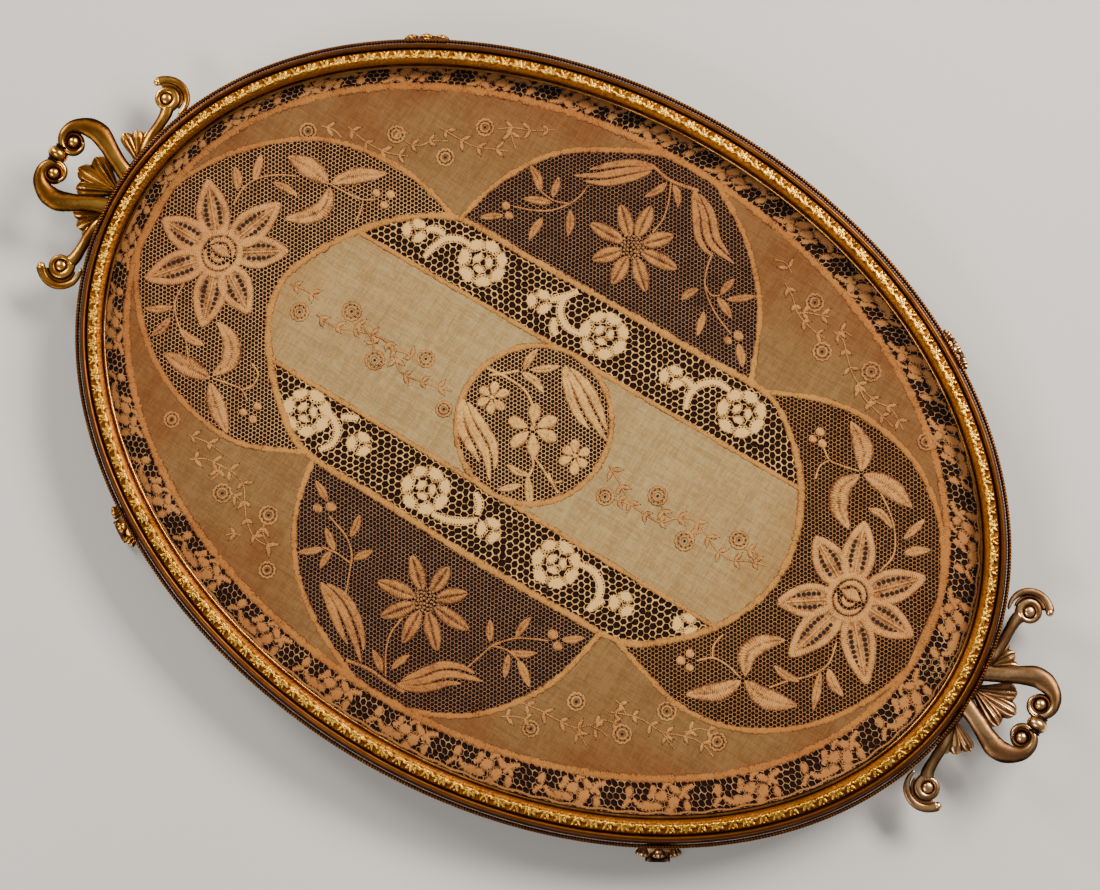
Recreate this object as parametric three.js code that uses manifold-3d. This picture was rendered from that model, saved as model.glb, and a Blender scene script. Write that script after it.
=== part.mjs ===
// Oval dresser tray: a gilt brass rim with two fixed scroll handles and four scroll feet.
// A pieced lace cloth lies between the glass pane and a velvet-faced board.
// Millimetres, +Z up, X along the oval. The origin is under the middle, on the table.
import * as THREE from 'three';
import { mergeVertices } from 'three/addons/utils/BufferGeometryUtils.js';
import Module from 'manifold-3d';

const wasm = await Module();
wasm.setup();

// ---- driving dimensions ----
const HALF_LENGTH = 190;
const HALF_WIDTH = 140;
const GAP = 0.3;
const RING_STEPS = 72;

const COVER_BOTTOM = 12;
const COVER_THICK = 0.8;
const BOARD_THICK = 3;
const VELVET_THICK = 0.8;
const LACE_THICK = 0.5;
const GLASS_THICK = 2.5;
const BOARD_BOTTOM = COVER_BOTTOM + COVER_THICK + GAP;
const VELVET_BOTTOM = BOARD_BOTTOM + BOARD_THICK + GAP;
const LACE_BOTTOM = VELVET_BOTTOM + VELVET_THICK + GAP;
const GLASS_BOTTOM = LACE_BOTTOM + LACE_THICK + GAP;
const LIP_BOTTOM = GLASS_BOTTOM + GLASS_THICK + GAP;

const STEP_INSET = 5.4;
const RABBET_INSET = 8.7;
const LIP_INSET = 10.6;
const COVER_INSET = STEP_INSET + GAP;
const STACK_INSET = RABBET_INSET + GAP;

const SHANK_RADIUS = 0.8;
const HOLE_RADIUS = SHANK_RADIUS + GAP;
const HEAD_RADIUS = 1.6;
const HEAD_THICK = 1;
const LUG_BOTTOM = 9.7;
const LUG_TOP = COVER_BOTTOM - GAP;
const LUG_SCREW_INSET = 3.7;
const COVER_SCREW_INSET = 7.2;
const COVER_SCREWS = 8;

const FOOT_ANGLE = THREE.MathUtils.degToRad(51.6);
const FOOT_WIDTH = 9;

const LOOP_SHIFT = 2.5;
const ARM_ROOT = HALF_LENGTH + 0.9;
const ARM_BOTTOM = 16.6;
const ARM_THICK = 2.4;
const ARM_RISE = THREE.MathUtils.degToRad(10.7);
const PALMETTE_BOTTOM = 13.6;
const PALMETTE_THICK = 2.4;
const HANDLE_SCREW_ANGLE = 0.1;

// ---- materials ----
const finish = (color, roughness, metalness) =>
  new THREE.MeshStandardMaterial({ color, roughness, metalness });
const gilt = finish(0xc08a2e, 0.3, 1);
const brownGilt = finish(0x7a4a1c, 0.4, 1);
const wornBrass = finish(0xa9854a, 0.4, 1);
const steel = finish(0x8a8780, 0.4, 1);
const glass = finish(0xdfe8e6, 0.05, 0);
glass.transparent = true;
glass.opacity = 0.3;
const net = finish(0xb49880, 0.9, 0);
const linen = finish(0xa89068, 0.9, 0);
const cream = finish(0xdcbf92, 0.9, 0);
const edging = finish(0xc8925e, 0.9, 0);
const velvet = finish(0x120a08, 0.95, 0);
const board = finish(0x6e5638, 0.85, 0);

// ---- helpers ----
const tray = new THREE.Group();

function addPart(name, geometry, material, parent = tray) {
  const mesh = new THREE.Mesh(geometry, material);
  mesh.name = name;
  parent.add(mesh);
  return mesh;
}

function toSolid(geometry) {
  const bare = geometry.clone();
  bare.deleteAttribute('normal');
  bare.deleteAttribute('uv');
  const merged = mergeVertices(bare, 1e-4);
  const vertProperties = new Float32Array(merged.attributes.position.array);
  const triVerts = new Uint32Array(merged.index.array);
  return new wasm.Manifold(new wasm.Mesh({ numProp: 3, vertProperties, triVerts }));
}

function toGeometry(solid) {
  const mesh = solid.getMesh();
  const geometry = new THREE.BufferGeometry();
  geometry.setAttribute('position', new THREE.BufferAttribute(mesh.vertProperties, 3));
  geometry.setIndex(new THREE.BufferAttribute(mesh.triVerts, 1));
  return geometry;
}

const joined = (solids) => solids.reduce((sum, solid) => sum.add(solid));

function slab(points, bottom, thickness) {
  const geometry = new THREE.ExtrudeGeometry(new THREE.Shape(points), {
    depth: thickness,
    bevelEnabled: false,
  });
  return geometry.translate(0, 0, bottom);
}

// A point on the outer oval and the outward normal there.
function ovalFrame(angle) {
  const point = new THREE.Vector2(HALF_LENGTH * Math.cos(angle), HALF_WIDTH * Math.sin(angle));
  const normal = new THREE.Vector2(HALF_WIDTH * Math.cos(angle), HALF_LENGTH * Math.sin(angle));
  return { point, normal: normal.normalize() };
}

function ovalPoint(angle, inset) {
  const { point, normal } = ovalFrame(angle);
  return point.addScaledVector(normal, -inset);
}

// Sweeps a section of [inset, height] points, listed counter-clockwise, round the oval.
// Without angles the sweep closes on itself; with them it is a length with flat ends.
function ovalSweep(section, start = 0, end = 2 * Math.PI, steps = RING_STEPS) {
  const closed = end - start > 6.28;
  const rows = closed ? steps : steps + 1;
  const count = section.length;
  const position = [];
  const index = [];
  for (let row = 0; row < rows; row += 1) {
    const angle = start + ((end - start) * row) / steps;
    for (const [inset, height] of section) {
      const { x, y } = ovalPoint(angle, inset);
      position.push(x, y, height);
    }
  }
  for (let row = 0; row < steps; row += 1) {
    const here = row * count;
    const there = ((row + 1) % rows) * count;
    for (let k = 0; k < count; k += 1) {
      const next = (k + 1) % count;
      index.push(here + k, here + next, there + k);
      index.push(here + next, there + next, there + k);
    }
  }
  if (!closed) {
    const outline = section.map(([inset, height]) => new THREE.Vector2(inset, height));
    const last = steps * count;
    for (const [a, b, c] of THREE.ShapeUtils.triangulateShape(outline, [])) {
      index.push(a, c, b);
      index.push(last + a, last + b, last + c);
    }
  }
  const geometry = new THREE.BufferGeometry();
  geometry.setAttribute('position', new THREE.Float32BufferAttribute(position, 3));
  geometry.setIndex(index);
  return geometry;
}

function beadSection(inset, height, radius, sides) {
  const section = [];
  for (let k = 0; k < sides; k += 1) {
    const turn = (2 * Math.PI * (k + 0.5)) / sides;
    section.push([inset + radius * Math.cos(turn), height + radius * Math.sin(turn)]);
  }
  return section;
}

function ovalDisc(inset, bottom, thickness) {
  const points = [];
  for (let step = 0; step < RING_STEPS; step += 1) {
    points.push(ovalPoint((2 * Math.PI * step) / RING_STEPS, inset));
  }
  return slab(points, bottom, thickness);
}

function post(x, y, bottom, top, radius) {
  const geometry = new THREE.CylinderGeometry(radius, radius, top - bottom, 8);
  return geometry.rotateX(Math.PI / 2).translate(x, y, (bottom + top) / 2);
}

// A round-headed screw pointing up, with the seat of its head at height 0.
function screwGeometry(length) {
  const profile = [
    [0, -HEAD_THICK],
    [HEAD_RADIUS * 0.75, -HEAD_THICK],
    [HEAD_RADIUS, -HEAD_THICK * 0.5],
    [HEAD_RADIUS, 0],
    [SHANK_RADIUS, 0],
    [SHANK_RADIUS, length],
    [0, length],
  ].map(([radius, height]) => new THREE.Vector2(radius, height));
  return new THREE.LatheGeometry(profile, 8).rotateX(Math.PI / 2);
}

// ---- rim ----
const lugScrewAngles = [
  FOOT_ANGLE, Math.PI - FOOT_ANGLE, Math.PI + FOOT_ANGLE, 2 * Math.PI - FOOT_ANGLE,
  HANDLE_SCREW_ANGLE, -HANDLE_SCREW_ANGLE,
  Math.PI + HANDLE_SCREW_ANGLE, Math.PI - HANDLE_SCREW_ANGLE,
];
const coverScrewAngles = [];
for (let k = 0; k < COVER_SCREWS; k += 1) {
  coverScrewAngles.push((2 * Math.PI * (k + 0.5)) / COVER_SCREWS);
}

function rimMoulding() {
  const section = [
    [2.0, COVER_BOTTOM], [STEP_INSET, COVER_BOTTOM],
    [STEP_INSET, BOARD_BOTTOM], [RABBET_INSET, BOARD_BOTTOM],
    [RABBET_INSET, LIP_BOTTOM], [LIP_INSET, LIP_BOTTOM],
    [LIP_INSET, 23], [4.9, 22.5],
    [2.8, 22.5], [2.8, 21.9], [1.9, 20.9], [1.9, 19.2],
    [2.6, 18.6], [2.6, 17.2], [1.6, 15.6], [1.6, 13.2],
  ];
  let solid = toSolid(ovalSweep(section));
  for (const angle of lugScrewAngles) {
    const { x, y } = ovalPoint(angle, LUG_SCREW_INSET);
    solid = solid.subtract(toSolid(post(x, y, COVER_BOTTOM - 1, 16.5, HOLE_RADIUS)));
  }
  for (const angle of coverScrewAngles) {
    const { x, y } = ovalPoint(angle, COVER_SCREW_INSET);
    solid = solid.subtract(toSolid(post(x, y, COVER_BOTTOM, 17, HOLE_RADIUS)));
  }
  return toGeometry(solid);
}

function addRim() {
  const floralSection = [
    [5.3, 23.3], [10.9, 23.3], [10.7, 24.6], [9.2, 25.8], [7, 25.8], [5.5, 24.6],
  ];
  addPart('rim_moulding', rimMoulding(), brownGilt);
  addPart('edge_bead', ovalSweep(beadSection(0.82, 20.05, 0.82, 6)), gilt);
  addPart('round_bead', ovalSweep(beadSection(3.85, 23.75, 0.98, 6)), gilt);
  addPart('floral_band', ovalSweep(floralSection), gilt);
  addPart('inner_bead', ovalSweep(beadSection(11.5, 21.75, 0.65, 6)), gilt);
}

// ---- glass, board, velvet and back cover ----
function backCover() {
  let solid = toSolid(ovalDisc(COVER_INSET, COVER_BOTTOM, COVER_THICK));
  for (const angle of coverScrewAngles) {
    const { x, y } = ovalPoint(angle, COVER_SCREW_INSET);
    solid = solid.subtract(toSolid(post(x, y, COVER_BOTTOM - 1, BOARD_BOTTOM, HOLE_RADIUS)));
  }
  return toGeometry(solid);
}

function addStack() {
  addPart('glass_pane', ovalDisc(STACK_INSET, GLASS_BOTTOM, GLASS_THICK), glass);
  addPart('velvet_lining', ovalDisc(STACK_INSET, VELVET_BOTTOM, VELVET_THICK), velvet);
  addPart('backing_board', ovalDisc(STACK_INSET, BOARD_BOTTOM, BOARD_THICK), board);
  addPart('back_cover', backCover(), wornBrass);
  coverScrewAngles.forEach((angle, k) => {
    const { x, y } = ovalPoint(angle, COVER_SCREW_INSET);
    const screw = addPart(`cover_screw_${k + 1}`, screwGeometry(4.5), steel);
    screw.position.set(x, y, COVER_BOTTOM - GAP);
  });
}

// ---- lace: outlines as seen from above, counter-clockwise ----
const EDGING_CENTRE = [-4, 2];
const EDGING_INNER = [168.5, 117.5];
const CLOTH_CENTRE = [-1.2, 1.2];
const CLOTH_OUTER = [179.3, 129.3];
const MEDALLION_CENTRE = [-4.5, 2.7];
const MEDALLION_HALF = [29.3, 30.8];
const FIELD = [
  [105, 3], [102, 20], [94, 36], [82, 49], [68, 58], [40, 58.5], [0, 58], [-40, 57], [-71, 56],
  [-88, 46], [-102, 31], [-112, 14], [-116, 2], [-114, -12], [-104, -28], [-90, -42],
  [-76, -50.5], [-40, -52], [0, -53], [40, -52.5], [68, -50.5], [82, -41], [94, -28], [102, -13],
];
const BAND = [[-130, -27.5], [120, -28], [120, 34], [-130, 31.5]];
const END_RIGHT = [
  [66, -52], [82, -57], [98, -60.5], [118, -57.5], [138, -46], [153, -29], [163, -8],
  [166, 10], [160, 28], [147, 50], [127, 65], [103, 70], [85, 67.5], [68, 60.5],
];
const END_LEFT = [
  [-78, 57.5], [-100, 61.5], [-130, 56.5], [-152, 41], [-167, 21], [-174, 0], [-169, -20],
  [-157, -38], [-140, -52], [-120, -60], [-98, -61.5], [-79, -54],
];
const SIDE_BACK = [
  [58, 59.5], [54, 70], [47, 85], [35, 100], [20, 112], [2, 120.5], [-15, 118.5],
  [-35, 109], [-52, 97], [-64, 78], [-69.5, 59],
];
const SIDE_FRONT = [
  [-69.5, -53], [-65, -72], [-54, -90], [-40, -102], [-20, -112], [-3, -117.5],
  [15, -113], [32, -104], [45, -90], [53, -75], [58, -53],
];

function curveThrough(points, divisions, closed) {
  const knots = points.map(([x, y]) => new THREE.Vector3(x, y, 0));
  const curve = new THREE.CatmullRomCurve3(knots, closed, 'centripetal');
  const spots = curve.getPoints(divisions).map(({ x, y }) => new THREE.Vector2(x, y));
  if (closed) spots.pop();
  return spots;
}

function oval([x, y], [halfX, halfY], steps) {
  const points = [];
  for (let k = 0; k < steps; k += 1) {
    const turn = (2 * Math.PI * k) / steps;
    points.push(new THREE.Vector2(x + halfX * Math.cos(turn), y + halfY * Math.sin(turn)));
  }
  return points;
}

function grown(points, distance) {
  return points.map((point, k) => {
    const before = points[(k + points.length - 1) % points.length];
    const after = points[(k + 1) % points.length];
    const along = after.clone().sub(before).normalize();
    return new THREE.Vector2(point.x + along.y * distance, point.y - along.x * distance);
  });
}

function panelOutline(arc, inside) {
  return [...curveThrough(arc, 30, false), ...inside.map(([x, y]) => new THREE.Vector2(x, y))];
}

const laceSolid = (points, growth) =>
  toSolid(slab(grown(points, growth), LACE_BOTTOM, LACE_THICK));

// The cutting tools reach above and below the lace, so that no thin skin is left.
const laceCutter = (points, growth) =>
  toSolid(slab(grown(points, growth), LACE_BOTTOM - 1, LACE_THICK + 2));

function largestBodies(solid, count) {
  const bodies = solid.decompose();
  bodies.sort((a, b) => b.volume() - a.volume());
  return bodies.slice(0, count);
}

function addLace() {
  const half = GAP / 2;
  const edgingInner = oval(EDGING_CENTRE, EDGING_INNER, RING_STEPS);
  const clothOuter = oval(CLOTH_CENTRE, CLOTH_OUTER, RING_STEPS);
  const medallion = oval(MEDALLION_CENTRE, MEDALLION_HALF, 36);
  const field = curveThrough(FIELD, 64, true);
  const band = BAND.map(([x, y]) => new THREE.Vector2(x, y));
  const panels = {
    lace_end_net_right: panelOutline(END_RIGHT, [[60, 3]]),
    lace_end_net_left: panelOutline(END_LEFT, [[-70, 2]]),
    lace_side_net_back: panelOutline(SIDE_BACK, [[-60, 40], [50, 40]]),
    lace_side_net_front: panelOutline(SIDE_FRONT, [[50, -40], [-60, -40]]),
  };

  const rim = laceSolid(clothOuter, 0).subtract(laceCutter(edgingInner, half));
  addPart('lace_edging', toGeometry(rim), edging);

  let fillings = laceSolid(edgingInner, -half).subtract(laceCutter(field, half));
  for (const [name, outline] of Object.entries(panels)) {
    const panel = laceSolid(outline, -half)
      .intersect(laceCutter(edgingInner, -half))
      .subtract(laceCutter(field, half));
    addPart(name, toGeometry(largestBodies(panel, 1)[0]), net);
    fillings = fillings.subtract(laceCutter(outline, half));
  }
  for (const body of largestBodies(fillings, 4)) {
    const { min, max } = body.boundingBox();
    const end = min[0] + max[0] > 0 ? 'right' : 'left';
    const side = min[1] + max[1] > 0 ? 'back' : 'front';
    addPart(`lace_filling_${side}_${end}`, toGeometry(body), linen);
  }

  const inner = laceSolid(field, -half).subtract(laceCutter(medallion, half));
  const strips = largestBodies(inner.subtract(laceCutter(band, half)), 2);
  for (const body of strips) {
    const { min, max } = body.boundingBox();
    const side = min[1] + max[1] > 0 ? 'back' : 'front';
    addPart(`lace_insertion_${side}`, toGeometry(body), cream);
  }
  for (const body of largestBodies(inner.intersect(laceCutter(band, -half)), 2)) {
    const { min, max } = body.boundingBox();
    const end = min[0] + max[0] > 0 ? 'right' : 'left';
    addPart(`lace_field_${end}`, toGeometry(body), linen);
  }
  addPart('lace_medallion', toGeometry(laceSolid(medallion, -half)), net);
}

// ---- feet ----
// Side view of a foot: x is out from the rim's edge, y is the height.
const FOOT_SIDE = [
  [-5.2, LUG_TOP], [-5.2, LUG_BOTTOM], [-2.2, 9.4], [-0.6, 7.2], [0.2, 4.6], [1, 2], [2.2, 0],
  [5, 0], [6.1, 1.3], [6.2, 3], [5.2, 4.3], [3.9, 4], [3.1, 5.4], [2.6, 7.4], [2.5, 9.6],
  [3, 12.2], [2.8, 14], [0.4, 14.4], [-1.1, 13.6], [-1.2, LUG_TOP],
];
const FOOT_LOBES = [-5.6, 0, 5.6];

function petalOutline(length, width, sides = 6) {
  const shape = new THREE.Shape();
  shape.moveTo(0, -width / 2);
  shape.lineTo(length - width / 2, -width / 2);
  shape.absarc(length - width / 2, 0, width / 2, -Math.PI / 2, Math.PI / 2, false);
  shape.lineTo(0, width / 2);
  return shape.getPoints(sides);
}

function footGeometry() {
  const side = FOOT_SIDE.map(([x, y]) => new THREE.Vector2(x, y)).reverse();
  const leg = slab(side, -FOOT_WIDTH / 2, FOOT_WIDTH).rotateX(Math.PI / 2);
  const solids = [toSolid(leg)];
  for (const offset of FOOT_LOBES) {
    const lobe = slab(petalOutline(4.4 - 0.05 * Math.abs(offset), 5), 12.6, 2);
    solids.push(toSolid(lobe.translate(-1, offset, 0)));
  }
  const hole = toSolid(post(-LUG_SCREW_INSET, 0, LUG_BOTTOM - 1, LUG_TOP + 1, HOLE_RADIUS));
  return toGeometry(joined(solids).subtract(hole));
}

function addFeet() {
  const geometry = footGeometry();
  const corners = ['back_right', 'back_left', 'front_left', 'front_right'];
  corners.forEach((corner, k) => {
    const { point, normal } = ovalFrame(lugScrewAngles[k]);
    const group = new THREE.Group();
    group.position.set(point.x, point.y, 0);
    group.rotation.z = Math.atan2(normal.y, normal.x);
    addPart(`foot_${corner}`, geometry, wornBrass, group);
    const screw = addPart(`foot_screw_${corner}`, screwGeometry(5.5), steel, group);
    screw.position.set(-LUG_SCREW_INSET, 0, LUG_BOTTOM - GAP);
    tray.add(group);
  });
}

// ---- handles, built at the +X end ----
const FAN_LOBES = [[-24, 13.6], [0, 15.2], [24, 13.6]];
const LEAF_LOBES = [[31, 11.6], [58, 11.2], [79, 12.2]];
const LEAF_ROOT = 12;
const VOLUTE_CENTRE = [193, 38.4];
const VOLUTE_RADIUS = 5;
const CURL_RADIUS = 8.8;
// The upper arm seen from above: x is out from its root, y is off the loop's centre line.
const ARM_OUTLINE = [
  [0, 5.2], [6, 7.2], [11, 9.6], [15, 10.9], [18, 10.6], [19.1, 9], [19, 7], [20, 4.8],
  [22.3, 3.8], [25.2, 4], [27.4, 5.2], [28.2, 7.8], [27.8, 11], [25.5, 15], [21.5, 17.6],
  [17, 18], [12, 15.9], [6, 12.8], [0, 10],
];
const GRIP_PROFILE = [
  [0, -3.4], [2.6, -3.4], [3.6, -2.6], [3.9, -1.6], [3.2, -0.8], [4.1, -0.5],
  [4.1, 0.5], [3.2, 0.8], [3.9, 1.6], [3.6, 2.6], [2.6, 3.4], [0, 3.4],
];
const GRIP_OUT = 24.3;

function placedPetal(x, y, degrees, length, width) {
  const petal = slab(petalOutline(length, width), PALMETTE_BOTTOM, PALMETTE_THICK);
  petal.rotateZ(THREE.MathUtils.degToRad(degrees));
  return toSolid(petal.translate(x, y, 0));
}

function sideScroll(side) {
  const [x, y] = VOLUTE_CENTRE;
  const steps = 10;
  const points = [];
  for (const [radius, from, to] of [[CURL_RADIUS, 50, 200], [VOLUTE_RADIUS - 0.4, 200, 50]]) {
    for (let k = 0; k <= steps; k += 1) {
      const turn = THREE.MathUtils.degToRad(from + ((to - from) * k) / steps);
      points.push(new THREE.Vector2(x + radius * Math.cos(turn), y + radius * Math.sin(turn)));
    }
  }
  const mirrored = points.map((p) => new THREE.Vector2(p.x, p.y * side));
  if (side < 0) mirrored.reverse();
  const curl = toSolid(slab(mirrored, PALMETTE_BOTTOM, PALMETTE_THICK - 0.6));
  const top = PALMETTE_BOTTOM + PALMETTE_THICK;
  const disc = toSolid(post(x, side * y, PALMETTE_BOTTOM, top, VOLUTE_RADIUS));
  const arm = placedPetal(190.4, side * 17, side * 92, 20, 3.6);
  return joined([disc, arm, curl]);
}

function palmetteGeometry() {
  const bracket = [
    [-0.7, LUG_BOTTOM], [5.1, LUG_BOTTOM], [5.1, LUG_TOP], [1.3, LUG_TOP],
    [1.3, 18.2], [-0.7, 18.2],
  ];
  const solids = [toSolid(ovalSweep(bracket, -0.15, 0.15, 8))];
  for (const [degrees, length] of FAN_LOBES) {
    solids.push(placedPetal(HALF_LENGTH, LOOP_SHIFT, degrees, length, 5));
  }
  for (const side of [1, -1]) {
    for (const [degrees, length] of LEAF_LOBES) {
      solids.push(placedPetal(189.6, side * LEAF_ROOT, side * degrees, length, 3.8));
    }
    solids.push(sideScroll(side));
  }
  let casting = joined(solids);
  for (const angle of [HANDLE_SCREW_ANGLE, -HANDLE_SCREW_ANGLE]) {
    const { x, y } = ovalPoint(angle, LUG_SCREW_INSET);
    casting = casting.subtract(toSolid(post(x, y, LUG_BOTTOM - 1, LUG_TOP + 1, HOLE_RADIUS)));
  }
  return toGeometry(casting);
}

function armGeometry(side) {
  const points = ARM_OUTLINE.map(([x, y]) => new THREE.Vector2(x, side * y));
  if (side > 0) points.reverse();
  const arm = slab(points, 0, ARM_THICK).rotateY(-ARM_RISE);
  return arm.translate(ARM_ROOT, LOOP_SHIFT, ARM_BOTTOM);
}

function gripGeometry() {
  const profile = GRIP_PROFILE.map(([radius, height]) => new THREE.Vector2(radius, height));
  const height = ARM_BOTTOM + GRIP_OUT * Math.sin(ARM_RISE) + ARM_THICK / 2;
  return new THREE.LatheGeometry(profile, 12).translate(ARM_ROOT + GRIP_OUT, LOOP_SHIFT, height);
}

function addHandles() {
  for (const [end, turn] of [['right', 0], ['left', Math.PI]]) {
    const group = new THREE.Group();
    group.rotation.z = turn;
    addPart(`handle_palmette_${end}`, palmetteGeometry(), wornBrass, group);
    addPart(`handle_arm_${end}_1`, armGeometry(1), wornBrass, group);
    addPart(`handle_arm_${end}_2`, armGeometry(-1), wornBrass, group);
    addPart(`handle_grip_${end}`, gripGeometry(), wornBrass, group);
    [HANDLE_SCREW_ANGLE, -HANDLE_SCREW_ANGLE].forEach((angle, k) => {
      const { x, y } = ovalPoint(angle, LUG_SCREW_INSET);
      const screw = addPart(`handle_screw_${end}_${k + 1}`, screwGeometry(5.5), steel, group);
      screw.position.set(x, y, LUG_BOTTOM - GAP);
    });
    tray.add(group);
  }
}

addRim();
addStack();
addLace();
addFeet();
addHandles();

export default tray;
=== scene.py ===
"""An oval dresser tray: pieced lace under glass in a gilt brass rim with scroll handles and feet.

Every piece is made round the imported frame. Sizes in this script are millimetres.
"""

import math
import random

import bpy
import numpy as np
from mathutils import Matrix, Vector


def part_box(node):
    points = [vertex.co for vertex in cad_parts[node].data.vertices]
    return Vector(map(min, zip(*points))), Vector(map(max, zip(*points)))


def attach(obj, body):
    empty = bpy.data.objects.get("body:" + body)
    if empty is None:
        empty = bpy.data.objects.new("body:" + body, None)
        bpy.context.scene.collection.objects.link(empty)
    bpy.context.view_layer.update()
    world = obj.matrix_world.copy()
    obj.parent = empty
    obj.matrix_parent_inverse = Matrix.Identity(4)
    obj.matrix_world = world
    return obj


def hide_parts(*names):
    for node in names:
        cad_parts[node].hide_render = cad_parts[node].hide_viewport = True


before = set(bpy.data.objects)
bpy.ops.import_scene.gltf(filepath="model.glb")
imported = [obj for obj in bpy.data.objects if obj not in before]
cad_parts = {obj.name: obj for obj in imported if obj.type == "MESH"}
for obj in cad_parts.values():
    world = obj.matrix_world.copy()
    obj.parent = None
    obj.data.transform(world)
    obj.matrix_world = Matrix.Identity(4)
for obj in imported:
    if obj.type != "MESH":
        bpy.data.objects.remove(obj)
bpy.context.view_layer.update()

# ---- camera, floor and lamps ----
# The tray is seen from almost straight above, with its length running from the top left to the
# bottom right. It stands on a pale floor, under soft lamps that are never straight overhead.
MM = 0.001
camera_target = Vector((5.0, -1.1, 20.0)) * MM
camera_lean = (math.tan(math.radians(3.5)), math.tan(math.radians(-5.0)), 1.0)
camera_distance = 0.85
camera_roll = math.radians(31.2)

camera_data = bpy.data.cameras.new("camera")
camera_data.lens = 73.2
camera_data.sensor_width = 36.0
camera_data.clip_start = 0.01
camera = bpy.data.objects.new("camera", camera_data)
bpy.context.collection.objects.link(camera)
backward = Vector(camera_lean).normalized()
level = (-backward).cross(Vector((0, 1, 0))).normalized()
upright = level.cross(-backward)
right = level * math.cos(camera_roll) + upright * math.sin(camera_roll)
up = upright * math.cos(camera_roll) - level * math.sin(camera_roll)
facing = Matrix((right, up, backward)).transposed().to_4x4()
camera.matrix_world = Matrix.Translation(camera_target + backward * camera_distance) @ facing
bpy.context.scene.camera = camera


def lamp(name, azimuth, elevation, size, watts, tint):
    """A soft rectangular lamp aimed at the tray; azimuth 0 is beyond the back edge."""
    light = bpy.data.lights.new(name, "AREA")
    light.shape = "RECTANGLE"
    light.size, light.size_y = size
    light.energy = watts
    light.color = tint
    turn, lift = math.radians(azimuth), math.radians(elevation)
    way = Vector((math.cos(lift) * math.sin(turn), math.cos(lift) * math.cos(turn), math.sin(lift)))
    holder = bpy.data.objects.new(name, light)
    holder.location = way * 1.5
    holder.rotation_euler = way.to_track_quat("Z", "Y").to_euler()
    bpy.context.collection.objects.link(holder)


lamp("back_lamp", 20, 42, (0.8, 0.4), 33, (1.0, 0.95, 0.87))
lamp("left_lamp", -75, 34, (0.4, 0.8), 12, (1.0, 0.96, 0.9))
lamp("front_lamp", 200, 42, (0.8, 0.35), 8.5, (1.0, 0.98, 0.95))

world = bpy.data.worlds.new("studio")
world.use_nodes = True
world.node_tree.nodes["Background"].inputs["Color"].default_value = (1.0, 0.97, 0.93, 1.0)
world.node_tree.nodes["Background"].inputs["Strength"].default_value = 0.18
bpy.context.scene.world = world


def paint(red, green, blue):
    """A colour given as it looks on screen, 0 to 255, as the linear colour that shaders use."""
    linear = [((part / 255 + 0.055) / 1.055) ** 2.4 for part in (red, green, blue)]
    return (*linear, 1.0)


class Value:
    """A shader socket that Python's operators work on: each operator adds a Math node."""

    def __init__(self, finish, socket):
        self.finish = finish
        self.socket = socket

    def __add__(self, other):
        return self.finish.maths("ADD", self, other)

    __radd__ = __add__

    def __sub__(self, other):
        return self.finish.maths("SUBTRACT", self, other)

    def __rsub__(self, other):
        return self.finish.maths("SUBTRACT", other, self)

    def __mul__(self, other):
        return self.finish.maths("MULTIPLY", self, other)

    __rmul__ = __mul__


class Finish:
    """One material: its nodes, and the principled shader that they feed."""

    def __init__(self, name, constants):
        self.material = bpy.data.materials.new(name)
        self.material.use_nodes = True
        self.tree = self.material.node_tree
        self.shader = self.tree.nodes["Principled BSDF"]
        for socket, value in constants.items():
            self.shader.inputs[socket].default_value = value
        self.place = self.node("TexCoord", output="Object")

    def feed(self, socket, value):
        if isinstance(value, Value):
            self.tree.links.new(value.socket, socket)
        else:
            socket.default_value = value

    def node(self, kind, settings=(), sockets=(), output=0):
        """Adds a node, with its settings first and then the values or links of its sockets."""
        node = self.tree.nodes.new("ShaderNode" + kind)
        for name, setting in dict(settings).items():
            setattr(node, name, setting)
        for name, value in dict(sockets).items():
            self.feed(node.inputs[name], value)
        return Value(self, node.outputs[output])

    def maths(self, operation, first, second):
        return self.node("Math", {"operation": operation}, {0: first, 1: second})

    def mix(self, first, second, factor, blend="MIX"):
        """Blends two colours; a factor of 0 gives the first."""
        settings = {"data_type": "RGBA", "blend_type": blend}
        return self.node("Mix", settings, {0: factor, 6: first, 7: second}, output=2)

    def ease(self, value, low, high):
        """0 below low, 1 above high, and smooth between them."""
        sockets = {"Value": value, "From Min": low, "From Max": high}
        return self.node("MapRange", {"interpolation_type": "SMOOTHSTEP"}, sockets)

    def stretched(self, scale):
        """The place in the piece with each axis multiplied."""
        return self.node("VectorMath", {"operation": "MULTIPLY"}, {0: self.place, 1: scale})

    def noise(self, size, detail=3.0, stretch=(1.0, 1.0, 1.0)):
        """Soft blotches of about this size, stretched along the axes with small factors."""
        sockets = {"Vector": self.stretched(stretch), "Scale": 1 / (size * MM), "Detail": detail}
        return self.node("TexNoise", (), sockets)

    def rub_and_shade(self):
        """The mesh's own rub and shade value, 0 in the hollows and 1 on the high spots: wear on the brass,
        and painted light and shade on the cotton and on the brass bars.
        """
        return self.node("Attribute", {"attribute_name": "rub_and_shade"}, output="Fac")

    def bump(self, height, depth, strength=1.0):
        """Feeds the shader's normal with a relief that is depth millimetres deep."""
        sockets = {"Strength": strength, "Distance": depth * MM, "Height": height}
        self.feed(self.shader.inputs["Normal"], self.node("Bump", (), sockets))

    def coat(self, colour, roughness=None):
        """Feeds the sockets that may vary over the surface."""
        self.feed(self.shader.inputs["Base Color"], colour)
        if roughness is not None:
            self.feed(self.shader.inputs["Roughness"], roughness)


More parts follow.
